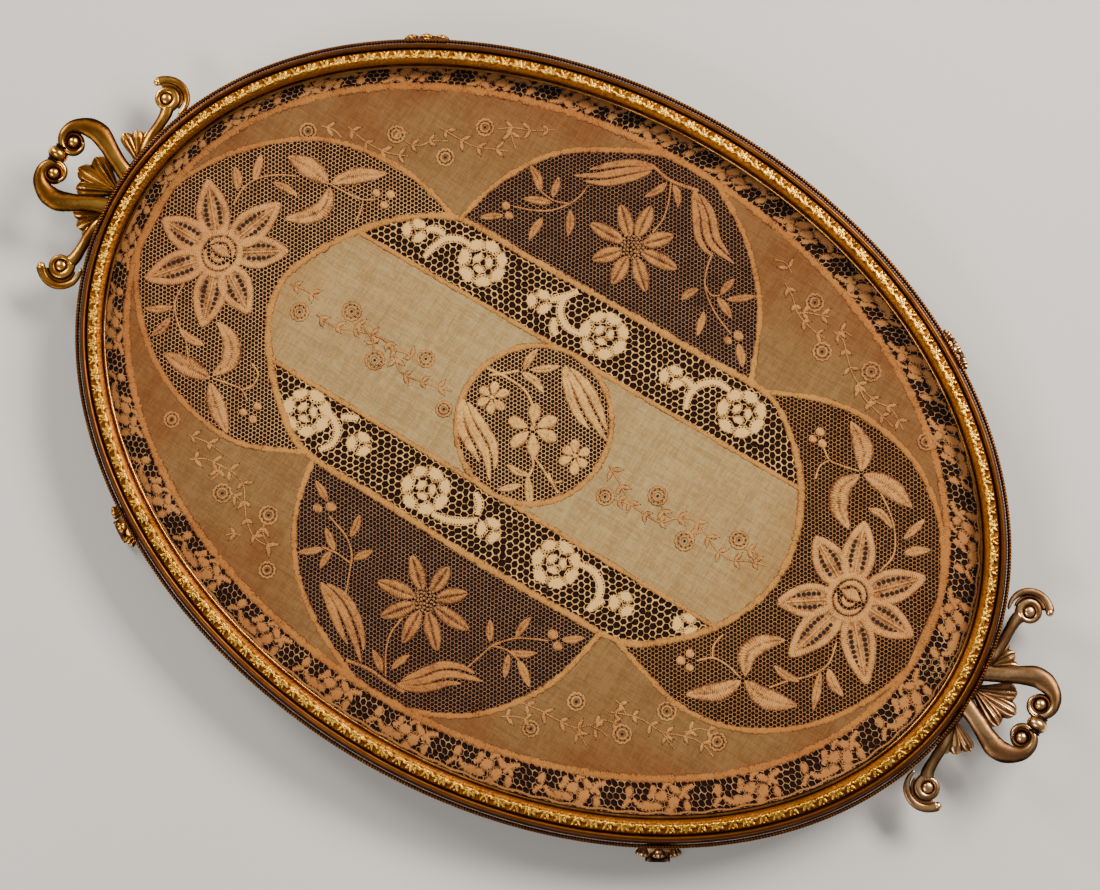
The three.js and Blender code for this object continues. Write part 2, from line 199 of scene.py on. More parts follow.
floor_mesh = bpy.data.meshes.new("floor")
floor_mesh.from_pydata([(-4, -4, 0), (4, -4, 0), (4, 4, 0), (-4, 4, 0)], [], [(0, 1, 2, 3)])
floor = bpy.data.objects.new("floor", floor_mesh)
floor.location.z = -0.3 * MM
bpy.context.collection.objects.link(floor)
plaster = Finish("pale_floor", {"Roughness": 0.85})
plaster.coat(plaster.mix(paint(214, 211, 206), paint(222, 219, 215), plaster.noise(160)))
floor_mesh.materials.append(plaster.material)

# ---- rim moulding ----
# The cast brass ring that carries the whole tray: a rabbet inside for the glass and board, a lip
# over the glass, and a coved outer side that keeps its dark brown lacquer.
half_length = 190.0
half_width = 140.0
ring_steps = 720


class Surface:
    """Patches in millimetres, gathered into one piece, each point with its rub and shade value."""

    def __init__(self):
        self.points = []
        self.rub_and_shade_values = []
        self.faces = []
        self.count = 0

    def patch(self, points, faces, rub_and_shade):
        points = np.asarray(points, float).reshape(-1, 3)
        self.faces.append(np.asarray(faces) + self.count)
        self.points.append(points)
        self.rub_and_shade_values.append(np.broadcast_to(rub_and_shade, len(points)))
        self.count += len(points)

    def grid(self, points, rub_and_shade=1.0, ring_rows=False, ring_columns=False, keep=None):
        """A patch of quads on rows and columns of points; keep drops the quads left open."""
        rows, columns = points.shape[:2]
        row = np.arange(rows if ring_rows else rows - 1)[:, None]
        column = np.arange(columns if ring_columns else columns - 1)[None, :]
        after_row = (row + 1) % rows
        after_column = (column + 1) % columns
        corners = [row * columns + column, row * columns + after_column]
        corners += [after_row * columns + after_column, after_row * columns + column]
        faces = np.stack(np.broadcast_arrays(*corners), -1)
        faces = faces.reshape(-1, 4) if keep is None else faces[keep]
        rub_and_shade = np.broadcast_to(rub_and_shade, (rows, columns)).reshape(-1)
        self.patch(points, faces, rub_and_shade)

    def piece(self, name, finish, slot, replaces=(), sharp=None):
        """Makes the gathered patches into one object that rides with the tray."""
        mesh = bpy.data.meshes.new(name)
        faces = [face for block in self.faces for face in block.tolist()]
        mesh.from_pydata((np.concatenate(self.points) * MM).tolist(), [], faces)
        mesh.attributes.new("rub_and_shade", "FLOAT", "POINT").data.foreach_set(
            "value", np.concatenate(self.rub_and_shade_values).astype(np.float32)
        )
        mesh.shade_smooth()
        if sharp:
            mesh.set_sharp_from_angle(angle=math.radians(sharp))
        mesh.materials.append(finish.material)
        made = bpy.data.objects.new(name, mesh)
        bpy.context.collection.objects.link(made)
        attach(made, "root")
        if replaces:
            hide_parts(*replaces)
        return made


def oval_walk(steps):
    """Points and outward normals spaced evenly round the outer oval, from +X towards +Y."""
    turn = np.linspace(0, 2 * math.pi, 20001)
    x, y = half_length * np.cos(turn), half_width * np.sin(turn)
    length = np.concatenate([[0], np.cumsum(np.hypot(np.diff(x), np.diff(y)))])
    turn = np.interp(np.arange(steps) / steps * length[-1], length, turn)
    normals = np.stack([half_width * np.cos(turn), half_length * np.sin(turn)], -1)
    normals /= np.linalg.norm(normals, axis=1, keepdims=True)
    points = np.stack([half_length * np.cos(turn), half_width * np.sin(turn)], -1)
    return points, normals


def oval_sweep(surface, section, rub_and_shade, steps=ring_steps):
    """Sweeps a section round the oval: (inset, height) pairs, the same or one set per step."""
    points, normals = oval_walk(steps)
    section = np.asarray(section, float)
    if section.ndim == 2:
        section = np.broadcast_to(section, (steps, *section.shape))
    flat = points[:, None, :] - normals[:, None, :] * section[..., :1]
    grid = np.concatenate([flat, section[..., 1:]], -1)
    rub_and_shade = np.broadcast_to(rub_and_shade, grid.shape[:2])
    surface.grid(grid[:, ::-1], rub_and_shade[:, ::-1], ring_rows=True, ring_columns=True)


def blend(first, second, start, end, t):
    """A value between two, by how far t has gone from start to end."""
    return ((end - t) * first + (t - start) * second) / (end - start)


def curve_through(knots, step, closed=False):
    """Points one step apart on a smooth curve through the knots."""
    knots = np.asarray(knots, float)
    if closed:
        padded = np.concatenate([knots[-1:], knots, knots[:2]])
    else:
        padded = np.concatenate([2 * knots[:1] - knots[1:2], knots, 2 * knots[-1:] - knots[-2:-1]])
    parts = []
    for before, start, end, after in zip(padded, padded[1:], padded[2:], padded[3:]):
        ends = np.stack([before, start, end, after])
        gaps = np.maximum(np.sqrt(np.linalg.norm(np.diff(ends, axis=0), axis=1)), 1e-6)
        times = np.concatenate([[0], np.cumsum(gaps)])
        t = np.linspace(times[1], times[2], 17)[:-1, None]
        low = [blend(ends[k], ends[k + 1], times[k], times[k + 1], t) for k in range(3)]
        middle = [blend(low[k], low[k + 1], times[k], times[k + 2], t) for k in range(2)]
        parts.append(blend(*middle, times[1], times[2], t))
    fine = np.concatenate(parts + [knots[:1] if closed else knots[-1:]])
    return even_steps(fine, step, closed)


def even_steps(path, step, closed=False):
    """The same path with its points evenly spaced."""
    length = np.concatenate([[0], np.cumsum(np.linalg.norm(np.diff(path, axis=0), axis=1))])
    count = max(int(round(length[-1] / step)), 2)
    wanted = np.linspace(0, length[-1], count + 1)
    if closed:
        wanted = wanted[:-1]
    return np.stack([np.interp(wanted, length, path[:, k]) for k in range(path.shape[1])], -1)


def lacquered_brass(name, bright, middle, hollow, roughness, patchy=0.5):
    """Gilt brass: bright where it is rubbed, amber on the slopes, brown lacquer in the hollows."""
    brass = Finish(name, {"Metallic": 1.0, "Coat Weight": 0.0})
    # The rub and shade value is wear on most pieces, and also painted light and shade on the swept bars.
    wear_and_shade = brass.rub_and_shade() + (brass.noise(9, 4) - 0.5) * patchy + (brass.noise(0.9, 3) - 0.5) * 0.35
    colour = brass.mix(hollow, middle, brass.ease(wear_and_shade, 0.05, 0.55))
    colour = brass.mix(colour, bright, brass.ease(wear_and_shade, 0.55, 1.0))
    rough = roughness + 0.25 * (1 - brass.ease(wear_and_shade, 0.2, 0.8)) + 0.12 * (brass.noise(2.5) - 0.5)
    brass.coat(colour, roughness=rough)
    brass.bump(brass.noise(1.6, 4), 0.05, 0.5)
    return brass


brown_gilt = lacquered_brass("brown_gilt", paint(170, 104, 48), paint(104, 52, 22), paint(50, 22, 9), 0.24)
gilt = lacquered_brass("gilt", paint(240, 180, 70), paint(158, 94, 28), paint(74, 36, 12), 0.32)
dark_gilt = lacquered_brass("dark_gilt", paint(214, 158, 84), paint(122, 72, 30), paint(56, 26, 10), 0.22)

outer_side = curve_through(
    [[2.8, 22.5], [2.75, 21.9], [2.3, 21.2], [1.9, 20.9], [1.8, 20.0], [1.9, 19.2], [2.5, 18.5],
     [2.75, 17.6], [2.4, 16.6], [1.75, 15.8], [1.5, 14.8], [1.6, 13.6], [1.9, 12.9], [2, 12]],
    0.3,
)
rim_section = [[5.4, 12], [5.4, 13.1], [8.7, 13.1], [8.7, 21.1], [10.6, 21.1], [10.75, 21.6],
               [10.6, 23.0], [9.5, 22.95], [7.5, 22.8], [5.4, 22.45], [4.9, 22.3], [4.2, 22.35], [3.2, 22.45]]
rim_section = np.concatenate([rim_section, outer_side])[::-1]
hollow_depth = np.interp(
    rim_section[:, 0], [1.5, 2.0, 2.8, 4.5, 5.4, 10.4, 10.6], [0.8, 0.4, 0.3, 0.4, 0.4, 0.3, 0.6])
rim = Surface()
oval_sweep(rim, rim_section, hollow_depth)
rim.piece("rim_casting", brown_gilt, "brown_gilt", ["rim_moulding"], sharp=50)

# ---- beads ----
# Three drawn wires soldered to the ring: a roped wire round the outermost edge, a half-round
# bead above the cove with one butt joint, and a thin wire where the lip meets the glass.
rope_steps = 4368
rope_pitch = 5
rope_centre = (0.82, 20.05)
rope_turn = np.linspace(0, 2 * math.pi, 12, endpoint=False)
rope_phase = 2 * math.pi * np.arange(rope_steps)[:, None] / rope_pitch + 2 * rope_turn[None, :]
rope_radius = 0.76 + 0.1 * np.cos(rope_phase)
rope_section = np.stack(
    [rope_centre[0] - rope_radius * np.cos(rope_turn), rope_centre[1] + rope_radius * np.sin(rope_turn)],
    -1,
)
rope = Surface()
oval_sweep(rope, rope_section, 0.3 + 0.4 * np.cos(rope_phase), rope_steps)
rope.piece("roped_edge_wire", dark_gilt, "gilt", ["edge_bead"])


def plain_bead(name, node, inset, height, radius, rub_and_shade, finish):
    """A smooth wire, half sunk in its seat, slightly uneven where it was dressed by hand."""
    wire = Surface()
    turn = np.linspace(0, 2 * math.pi, 14, endpoint=False)
    along = np.linspace(0, 2 * math.pi, ring_steps, endpoint=False)[:, None]
    sway = 1 + 0.03 * np.sin(23 * along) + 0.02 * np.sin(57 * along + 1)
    across = radius * sway
    section = np.stack([inset - across * np.cos(turn), height + across * np.sin(turn)], -1)
    oval_sweep(wire, section, rub_and_shade)
    wire.piece(name, finish, "gilt", [node])


plain_bead("half_round_bead", "round_bead", 3.85, 23.75, 0.96, 0.4, dark_gilt)
plain_bead("inner_wire", "inner_bead", 11.5, 21.75, 0.63, 0.75, dark_gilt)

# ---- floral band ----
# A cast strip of 86 equal repeats let into the top of the ring. Each repeat is a burst of
# pointed leaves over a small rosette, with a bud and two curled leaves before the next one.
floral_repeats = 86
floral_columns = 44
floral_rows = 22
floral_length = 11.7
floral_insets = (5.35, 10.85)


def leaf_relief(u, v, root, degrees, length, width, height):
    """The height of one pointed leaf with a sunk midrib, over the band's flat."""
    turn = math.radians(degrees)
    du = (u - root[0] + floral_length / 2) % floral_length - floral_length / 2
    dv = root[1] - v
    along = (du * math.sin(turn) + dv * math.cos(turn)) / length
    across = (du * math.cos(turn) - dv * math.sin(turn)) / (width / 2)
    reach = np.sqrt(np.clip(along * (1 - along) * 4, 0, 1)) * np.clip(1.25 - along * 0.5, 0, 1)
    inside = np.clip(1 - (across / np.maximum(reach, 0.05)) ** 2, 0, 1)
    inside = np.where((along > 0) & (along < 1), inside, 0)
    rib = 1 - 0.35 * np.exp(-((across / 0.22) ** 2))
    return height * np.sqrt(inside) * rib * (0.6 + 0.4 * along)


u = np.linspace(0, floral_length, floral_columns, endpoint=False)[:, None]
v = np.linspace(*floral_insets, floral_rows)[None, :]
relief = np.zeros((floral_columns, floral_rows))
for degrees, length, width in (
    (-74, 3.6, 1.5), (-38, 3.4, 1.5), (0, 3.1, 1.6), (38, 3.4, 1.5), (74, 3.6, 1.5),
):
    relief = np.maximum(relief, leaf_relief(u, v, (5.85, 8.9), degrees, length * 1.1, width * 1.1, 1.35))
for degrees, length, width in ((-28, 2.7, 1.1), (28, 2.7, 1.1), (-80, 2.2, 1.0), (80, 2.2, 1.0)):
    relief = np.maximum(relief, leaf_relief(u, v, (0.0, 8.8), degrees, length * 1.25, width * 1.2, 1.15))
for centre, radius, height in (((5.85, 8.5), 0.95, 1.5), ((0.0, 8.5), 0.6, 1.1), ((0.0, 6.1), 0.45, 0.9)):
    du = (u - centre[0] + floral_length / 2) % floral_length - floral_length / 2
    dome = np.clip(1 - (du**2 + (v - centre[1]) ** 2) / radius**2, 0, 1)
    relief = np.maximum(relief, height * np.sqrt(dome))
floor_line = np.interp(
    v, [5.35, 5.6, 6.4, 8.2, 9.2, 9.9, 10.6, 10.85], [23.5, 24.0, 24.2, 24.5, 24.9, 24.6, 23.9, 23.5])
repeat_height = floor_line + relief * np.interp(v, [5.35, 5.8, 8.8, 9.5], [0.5, 1, 0.8, 0])
floor_rub = np.interp(v, [5.4, 6.2, 8.9, 9.5, 10.4, 10.85], [0.35, 0.3, 0.25, 0.4, 0.45, 0.4])
repeat_rub = np.clip(relief, 0, 1) + floor_rub
band_height = np.tile(repeat_height, (floral_repeats, 1))
band_rub = np.tile(np.clip(repeat_rub, 0, 1), (floral_repeats, 1))
chances = np.random.default_rng(11)
casting_noise = chances.normal(0, 0.09, band_height.shape)
band_height = np.clip(band_height + casting_noise * (band_rub > 0.1), 23.4, 26.3)
band_section = np.stack([np.broadcast_to(v, band_height.shape), band_height], -1)
underside = np.broadcast_to([[10.8, 23.3], [5.4, 23.3]], (len(band_height), 2, 2))
band = Surface()
band_rub = np.concatenate([band_rub, np.full((len(band_rub), 2), 0.3)], 1)
oval_sweep(band, np.concatenate([band_section, underside], 1), band_rub, len(band_height))
band.piece("floral_strip", gilt, "gilt", ["floral_band"])

# ---- back cover, board and screws ----
# A sheet brass cover closes the underside. Eight small slotted screws hold it to the ring, and
# under it a fibre board presses the velvet and the lace up against the glass.
cover_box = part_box("back_cover")
cover_bottom, cover_top = cover_box[0][2] / MM, cover_box[1][2] / MM
cover_reach = cover_box[1][0] / MM
cover_fade = np.array([0.0, 0.25, 0.5, 0.7, 0.8, 0.84, 0.87, 0.9, 0.93, 0.96, 0.99, 1.0])
cover_dish = np.array([0.35, 0.35, 0.35, 0.35, 0.33, 0.2, 0.05, 0.0, 0.0, 0.0, 0.05, 0.25])


def oval_disc(surface, reach, fade, heights, rub_and_shade, flip=False):
    """A disc of rings shrinking from the oval's own outline to its middle."""
    points, normals = oval_walk(360)
    edge = points - normals * (half_length - reach)
    flat = edge[None] * fade[:, None, None]
    tall = np.broadcast_to(heights, (len(points), len(fade))).T[..., None]
    grid = np.concatenate([flat, tall], -1)
    surface.grid(grid if flip else grid[::-1], rub_and_shade, ring_columns=True)


sheet_brass = lacquered_brass(
    "sheet_brass", paint(196, 158, 92), paint(150, 108, 52), paint(92, 58, 24), 0.34
)
cover = Surface()
cover_fades = np.concatenate([cover_fade, [1.0], cover_fade[::-1]])
cover_heights = np.concatenate([cover_bottom + cover_dish, [cover_top], cover_top - 0.1 + 0 * cover_dish])
oval_disc(cover, cover_reach, cover_fades, cover_heights, 0.55, flip=True)
cover.piece("pressed_back_cover", sheet_brass, "sheet_brass", ["back_cover"], sharp=60)

fibre = Finish("fibre_board", {"Roughness": 0.85})
fibre.coat(fibre.mix(paint(122, 96, 62), paint(88, 66, 42), fibre.noise(1.2, 4)))
fibre.bump(fibre.noise(0.5), 0.1)
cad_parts["backing_board"].data.materials.clear()
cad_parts["backing_board"].data.materials.append(fibre.material)

screw_steel = Finish("screw_steel", {"Metallic": 1.0})
screw_steel.coat(
    screw_steel.mix(paint(92, 74, 56), paint(168, 160, 146), screw_steel.ease(screw_steel.rub_and_shade(), 0, 1)),
    roughness=0.35 + 0.2 * screw_steel.noise(0.6),
)


def slotted_screw(name, node):
    """A round-headed screw seen from below: domed head with a slot, and a threaded shank."""
    low, high = (np.array(corner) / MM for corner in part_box(node))
    x, y = (low[:2] + high[:2]) / 2
    turn = np.linspace(0, 2 * math.pi, 33)[:-1] + (sum(map(ord, node)) % 7)
    radii = np.array([0.001, 0.35, 0.7, 1.0, 1.25, 1.45, 1.58, 1.6, 1.6, 0.8])
    heights = np.array([0.0, 0.01, 0.05, 0.12, 0.22, 0.36, 0.55, 0.7, 0.98, 1.0])
    threads = np.arange(1.0, high[2] - low[2], 0.2)
    radii = np.concatenate([radii, 0.72 + 0.08 * (np.arange(len(threads)) % 2), [0.001]])
    heights = np.concatenate([heights, threads, [high[2] - low[2]]])
    grid = np.stack(
        [x + radii[:, None] * np.cos(turn), y + radii[:, None] * np.sin(turn),
         np.broadcast_to(low[2] + heights[:, None], (len(radii), len(turn)))], -1,
    )
    slot = (np.abs(radii[:, None] * np.sin(turn)) < 0.3) & (heights[:, None] < 0.4)
    grid[..., 2] = np.where(slot, low[2] + 0.5, grid[..., 2])
    screw = Surface()
    screw.grid(grid, np.where(slot, 0.0, 0.8), ring_columns=True)
    screw.piece(name, screw_steel, "screw_steel", [node], sharp=40)


corner_names = ["back_right", "back_left", "front_left", "front_right"]
for k in range(8):
    slotted_screw(f"slotted_cover_screw_{k + 1}", f"cover_screw_{k + 1}")
for corner in corner_names:
    slotted_screw(f"slotted_foot_screw_{corner}", f"foot_screw_{corner}")
for end in ("right", "left"):
    for k in (1, 2):
        slotted_screw(f"slotted_handle_screw_{end}_{k}", f"handle_screw_{end}_{k}")

# ---- velvet lining ----
# Near-black cotton velvet, stretched over the board. It shows through every hole of the lace.
velvet_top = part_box("velvet_lining")[1][2] / MM
velvet_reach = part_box("velvet_lining")[1][0] / MM
velvet = Finish("black_velvet", {"Roughness": 1.0, "Specular IOR Level": 0.1})
velvet.coat(velvet.mix(paint(24, 8, 3), paint(38, 15, 6), velvet.noise(6, 4)))
velvet.bump(velvet.noise(0.3), 0.1)
cloth_back = Surface()
oval_disc(cloth_back, velvet_reach, np.linspace(0.001, 1, 40), velvet_top - 0.02, 1.0)
velvet_cloth = cloth_back.piece("velvet_cloth", velvet, "velvet", ["velvet_lining"])


def lay_cloth(cloth, with_pieces=(), size=None):
    """Works out a sheet's flat size, its own outline, and its area, what its thread covers, and uses neither.
    """
    corners = np.array([vertex.co for vertex in cloth.data.vertices])
    size = (corners.max(0) - corners.min(0))[:2] if size is None else size
    area = sum(face.area for face in cloth.data.polygons)
    area = min(max(area, 0.31 * size[0] * size[1]), size[0] * size[1])


lay_cloth(velvet_cloth)

# ---- seams and outlines of the cloth ----
# The cloth is pieced from fourteen panels. A flat cord is whipped down over every seam, and the
# panels on both sides of it run in under the cord.
lace_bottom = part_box("lace_edging")[0][2] / MM
edging_centre, edging_inner = (-4.0, 2.0), (168.5, 117.5)
cloth_centre, cloth_outer = (-1.2, 1.2), (179.3, 129.3)
medallion_centre, medallion_half = (-4.5, 2.7), (29.3, 30.8)
field_knots = [
    [105, 3], [102, 20], [94, 36], [82, 49], [68, 58], [40, 58.5], [0, 58], [-40, 57], [-71, 56],
    [-88, 46], [-102, 31], [-112, 14], [-116, 2], [-114, -12], [-104, -28], [-90, -42],
    [-76, -50.5], [-40, -52], [0, -53], [40, -52.5], [68, -50.5], [82, -41], [94, -28], [102, -13],
]
band_back = [[-130, 31.5], [120, 34]]
band_front = [[-130, -27.5], [120, -28]]
end_right_knots = [
    [61, -50], [66, -52], [82, -57], [98, -60.5], [118, -57.5], [138, -46], [153, -29], [163, -8],
    [166, 10], [160, 28], [147, 50], [127, 65], [103, 70], [85, 67.5], [68, 60.5], [61, 57],
]
end_left_knots = [
    [-70, 54], [-78, 57.5], [-100, 61.5], [-130, 56.5], [-152, 41], [-167, 21], [-174, 0], [-169, -20],
    [-157, -38], [-140, -52], [-120, -60], [-98, -61.5], [-79, -54], [-71, -50],
]
side_back_knots = [
    [59, 56], [58, 59.5], [54, 70], [47, 85], [35, 100], [20, 112], [2, 120.5], [-15, 118.5],
    [-35, 109], [-52, 97], [-64, 78], [-69.5, 59], [-70, 54],
]
side_front_knots = [
    [-70, -49], [-69.5, -53], [-65, -72], [-54, -90], [-40, -102], [-20, -112], [-3, -117.5],
    [15, -113], [32, -104], [45, -90], [53, -75], [58, -53], [59, -49],
]


def in_oval(points, centre, half):
    offset = (points - np.array(centre)) / np.array(half)
    return (offset**2).sum(-1) < 1


def in_outline(points, outline):
    """Whether each point lies inside a closed outline, by counting crossings."""
    x, y = points[..., 0].ravel(), points[..., 1].ravel()
    inside = np.zeros(len(x), bool)
    for (ax, ay), (bx, by) in zip(outline, np.roll(outline, -1, axis=0)):
        if ay != by:
            crosses = ((ay > y) != (by > y)) & (x < (bx - ax) * (y - ay) / (by - ay) + ax)
            inside ^= crosses
    return inside.reshape(points.shape[:-1])


def oval_path(centre, half, step):
    turn = np.linspace(0, 2 * math.pi, 721)
    path = np.stack([centre[0] + half[0] * np.cos(turn), centre[1] + half[1] * np.sin(turn)], -1)
    return even_steps(path, step, closed=True)


field_outline = curve_through(field_knots, 2.0, closed=True)
panel_outlines = {
    "end_net_right": np.concatenate([curve_through(end_right_knots, 2.0), [[60, 3]]]),
    "end_net_left": np.concatenate([curve_through(end_left_knots, 2.0), [[-70, 2]]]),
    "side_net_back": np.concatenate([curve_through(side_back_knots, 2.0), [[-60, 40], [50, 40]]]),
    "side_net_front": np.concatenate([curve_through(side_front_knots, 2.0), [[50, -40], [-60, -40]]]),
}


def in_edging_oval(points):
    return in_oval(points, edging_centre, edging_inner)


def in_field(points):
    return in_outline(points, field_outline)


def in_band(points):
    slope = [(end[1] - start[1]) / (end[0] - start[0]) for start, end in (band_back, band_front)]
    back = band_back[0][1] + slope[0] * (points[..., 0] - band_back[0][0])
    front = band_front[0][1] + slope[1] * (points[..., 0] - band_front[0][0])
    return (points[..., 1] < back) & (points[..., 1] > front)


def in_medallion(points):
    return in_oval(points, medallion_centre, medallion_half)


def in_panel(name):
    """A net panel: its outline, inside the edging's oval, with the field laid over it."""
    return lambda points: (
        in_outline(points, panel_outlines[name]) & in_edging_oval(points) & ~in_field(points)
    )


def satin(surface, path, half, crown, base=None, closed=False, pitch=0.8, slant=0.7, vein=0.0,
          columns=9, ridge=0.07, wander=0.0, shadow=0.55):
    """Satin stitch laid along a path: a padded strip with a ridge for each turn of the thread."""
    base = lace_bottom + 0.05 if base is None else base
    path = np.asarray(path, float)
    if closed:
        along = np.roll(path, -1, 0) - np.roll(path, 1, 0)
    else:
        along = np.gradient(path, axis=0)
    along /= np.maximum(np.linalg.norm(along, axis=1, keepdims=True), 1e-9)
    left = np.stack([-along[:, 1], along[:, 0]], -1)
    steps = np.linalg.norm(np.diff(path, axis=0), axis=1)
    run = np.concatenate([[0], np.cumsum(steps)])
    if closed:
        total = run[-1] + steps[-1]
        pitch = total / round(total / pitch)
    half = np.broadcast_to(half, len(path)).astype(float)
    across = np.linspace(1, -1, columns)[None, :]
    dome = np.sqrt(np.clip(1 - across**2, 0, 1))
    fullness = np.sqrt(np.clip(half / half.max(), 0.02, 1))[:, None]
    drift = np.cumsum(np.random.default_rng(len(path)).normal(0, 1, (len(path), columns)), 0)
    phase = (run[:, None] - slant * np.abs(across) * half[:, None]) / pitch + wander * drift
    stitch = 0.5 - 0.5 * np.cos(2 * math.pi * phase)
    groove = vein * np.exp(-((across / 0.18) ** 2))
    height = base + crown * dome * fullness * (1 - groove) - ridge * stitch * dome
    flat = path[:, None, :] + left[:, None, :] * (across * half[:, None])[..., None]
    # Painted light and shade: pale on the crown of the strip, with painted shade at its edges, between the
    # stitches and along the vein.
    rub_and_shade = np.clip((0.15 + 0.9 * dome) * (1 - shadow * stitch) * (1 - 0.8 * groove), 0, 1)
    points = np.concatenate([flat, height[..., None]], -1)
    surface.grid(points, rub_and_shade, ring_rows=closed)


def thread_finish(name, light, shade, stain, weave=0.35, stain_from=0.45, patchy=0.5, roughness=0.9):
    """Old cotton: painted light on the crowns of the stitches, painted shade between them, and browner near
    the rim.
    """
    cotton = Finish(name, {"Roughness": roughness, "Specular IOR Level": 0.2, "Sheen Weight": 0.1})
    reach = cotton.node("VectorMath", {"operation": "LENGTH"},
                        {0: cotton.stretched((1 / 0.18, 1 / 0.13, 0.0))}, output=1)
    mottle = cotton.noise(28, 3) - 0.5
    browned = cotton.ease(reach + mottle * patchy, stain_from, 1.15)
    colour = cotton.mix(light, stain, browned)
    fray = (cotton.noise(0.9, 3) - 0.5) * 1.1 + (cotton.noise(5, 3) - 0.5) * 0.8
    # Painted shade: the shade colour is multiplied in where the rub and shade value is low, and painted light
    # is left on the crests.
    crest = cotton.rub_and_shade() + fray
    colour = cotton.mix(cotton.mix(colour, shade, 1.0, "MULTIPLY"), colour, cotton.ease(crest, 0.1, 0.95))
    colour = cotton.mix(paint(38, 18, 9), colour, cotton.ease(cotton.rub_and_shade(), -1.2, -0.4))
    cotton.coat(colour)
    cotton.bump(cotton.noise(weave, 2), 0.12, 0.7)
    return cotton


seam_cotton = thread_finish("seam_cord", paint(194, 136, 68), paint(118, 76, 40), paint(166, 98, 42))
seam_step = 0.25
seams = Surface()


def lay_seam(path, half, closed=False, keep=None):
    """Whips a cord down along a path, over only the stretch that keep allows."""
    if keep is not None:
        path = path[keep(path)]
    lift = np.random.default_rng(len(path)).normal(0, 0.14, len(path))
    sway = np.convolve(lift, np.ones(5), "same") / 2
    satin(seams, path, half * (1 + sway), 0.42, closed=closed, pitch=0.95, slant=0.4, columns=9,
          ridge=0.16, wander=0.11, shadow=0.42)


lay_seam(oval_path(edging_centre, edging_inner, seam_step), 1.6, closed=True)
lay_seam(curve_through(field_knots, seam_step, closed=True), 1.4, closed=True)
lay_seam(oval_path(medallion_centre, medallion_half, seam_step), 1.2, closed=True)
for band_edge in (band_back, band_front):
    straight = even_steps(np.array(band_edge, float), seam_step)
    for side in (-1, 1):
        lay_seam(straight, 1.0, keep=lambda p: in_field(p) & ~in_medallion(p) & (side * (p[:, 0] + 4.5) > 0))
for name, knots in (("end_net_right", end_right_knots), ("end_net_left", end_left_knots),
                    ("side_net_back", side_back_knots), ("side_net_front", side_front_knots)):
    arc = curve_through(knots, seam_step)
    lay_seam(arc, 1.2, keep=lambda p: in_edging_oval(p) & ~in_field(p))
seams.piece("whipped_seam_cords", seam_cotton, "net")

# ---- net panels ----
# Machine-made cotton net in two end panels, two side panels and the round middle. Six threads
# cross round each hole, and the net is old enough to have pulled a little out of square.
net_pitch = 1.6


def pulled(points, amount):
    """Moves points as an old net is pulled: smoothly, by up to about amount."""
    x, y = points[..., 0], points[..., 1]
    shift_x = np.sin(y / 7.3 + 1.7 * np.sin(x / 17)) + 0.5 * np.sin(x / 3.9 + y / 5.1)
    shift_y = np.sin(x / 8.1 + 1.3 * np.sin(y / 13)) + 0.5 * np.sin(y / 4.3 - x / 6.7)
    return points + amount * np.stack([shift_x, shift_y], -1) / 1.5


def clipped(cells, inside):
    """Cells that reach into a region, their outer points drawn in to its border."""
    held = inside(cells)
    some = held.any(1)
    cells, held = cells[some], held[some]
    anchor = (cells * held[..., None]).sum(1, keepdims=True) / held.sum(1)[:, None, None]
    low, high = np.zeros(held.shape), np.ones(held.shape)
    for _ in range(8):
        middle = (low + high) / 2
        good = inside(anchor + (cells - anchor) * middle[..., None])
        low, high = np.where(good, middle, low), np.where(good, high, middle)
    drawn = anchor + (cells - anchor) * low[..., None]
    return np.where(held[..., None], cells, drawn)


def knot_net(surface, inside, box, pitch, thread, rise, base, pull, jitter=0.0):
    """Hexagonal net: each hole is ringed by six strips that meet the next hole's on a ridge."""
    (x0, y0), (x1, y1) = box
    row_step = pitch * math.sqrt(3) / 2
    rows = np.arange(math.floor(y0 / row_step) - 1, math.ceil(y1 / row_step) + 2)
    columns = np.arange(math.floor(x0 / pitch) - 1, math.ceil(x1 / pitch) + 2)
    row, column = np.meshgrid(rows, columns, indexing="ij")
    centres = np.stack([(column + 0.5 * (row % 2)) * pitch, row * row_step], -1).reshape(-1, 1, 2)
    turn = np.radians(30 + 60 * np.arange(6))
    spokes = np.stack([np.cos(turn), np.sin(turn)], -1) * pitch / math.sqrt(3)
    hole = 1 - 2 * thread / pitch
    chance = np.random.default_rng(5)
    corners = np.round(centres + spokes, 3)
    holes = centres + spokes * hole + chance.normal(0, jitter, (len(centres), 6, 2))
    cells = pulled(np.concatenate([corners, holes], 1), pull)
    near = ((cells[:, :, 0] > x0 - pitch) & (cells[:, :, 0] < x1 + pitch)).any(1)
    cells = clipped(cells[near], inside)
    around, after = np.arange(6), (np.arange(6) + 1) % 6
    strips = np.stack([around, after, after + 6, around + 6], -1)
    faces = (np.arange(len(cells))[:, None, None] * 12 + strips).reshape(-1, 4)
    lift = np.where(np.arange(12) < 6, rise, 0.0)
    tall = base + np.broadcast_to(lift, cells.shape[:2])
    points = np.concatenate([cells, tall[..., None]], -1).reshape(-1, 3)
    # Painted light and shade: the thread is pale on its ridge, with painted shade where it drops to the hole.
    rub_and_shade = np.broadcast_to(np.where(np.arange(12) < 6, 1.0, 0.35), cells.shape[:2]).reshape(-1)
    points, first, index = np.unique(np.round(points, 3), axis=0, return_index=True, return_inverse=True)
    faces = index.reshape(-1)[faces]
    proper = np.array([len(set(face)) == 4 for face in faces.tolist()])
    surface.patch(points, faces[proper], rub_and_shade[first])


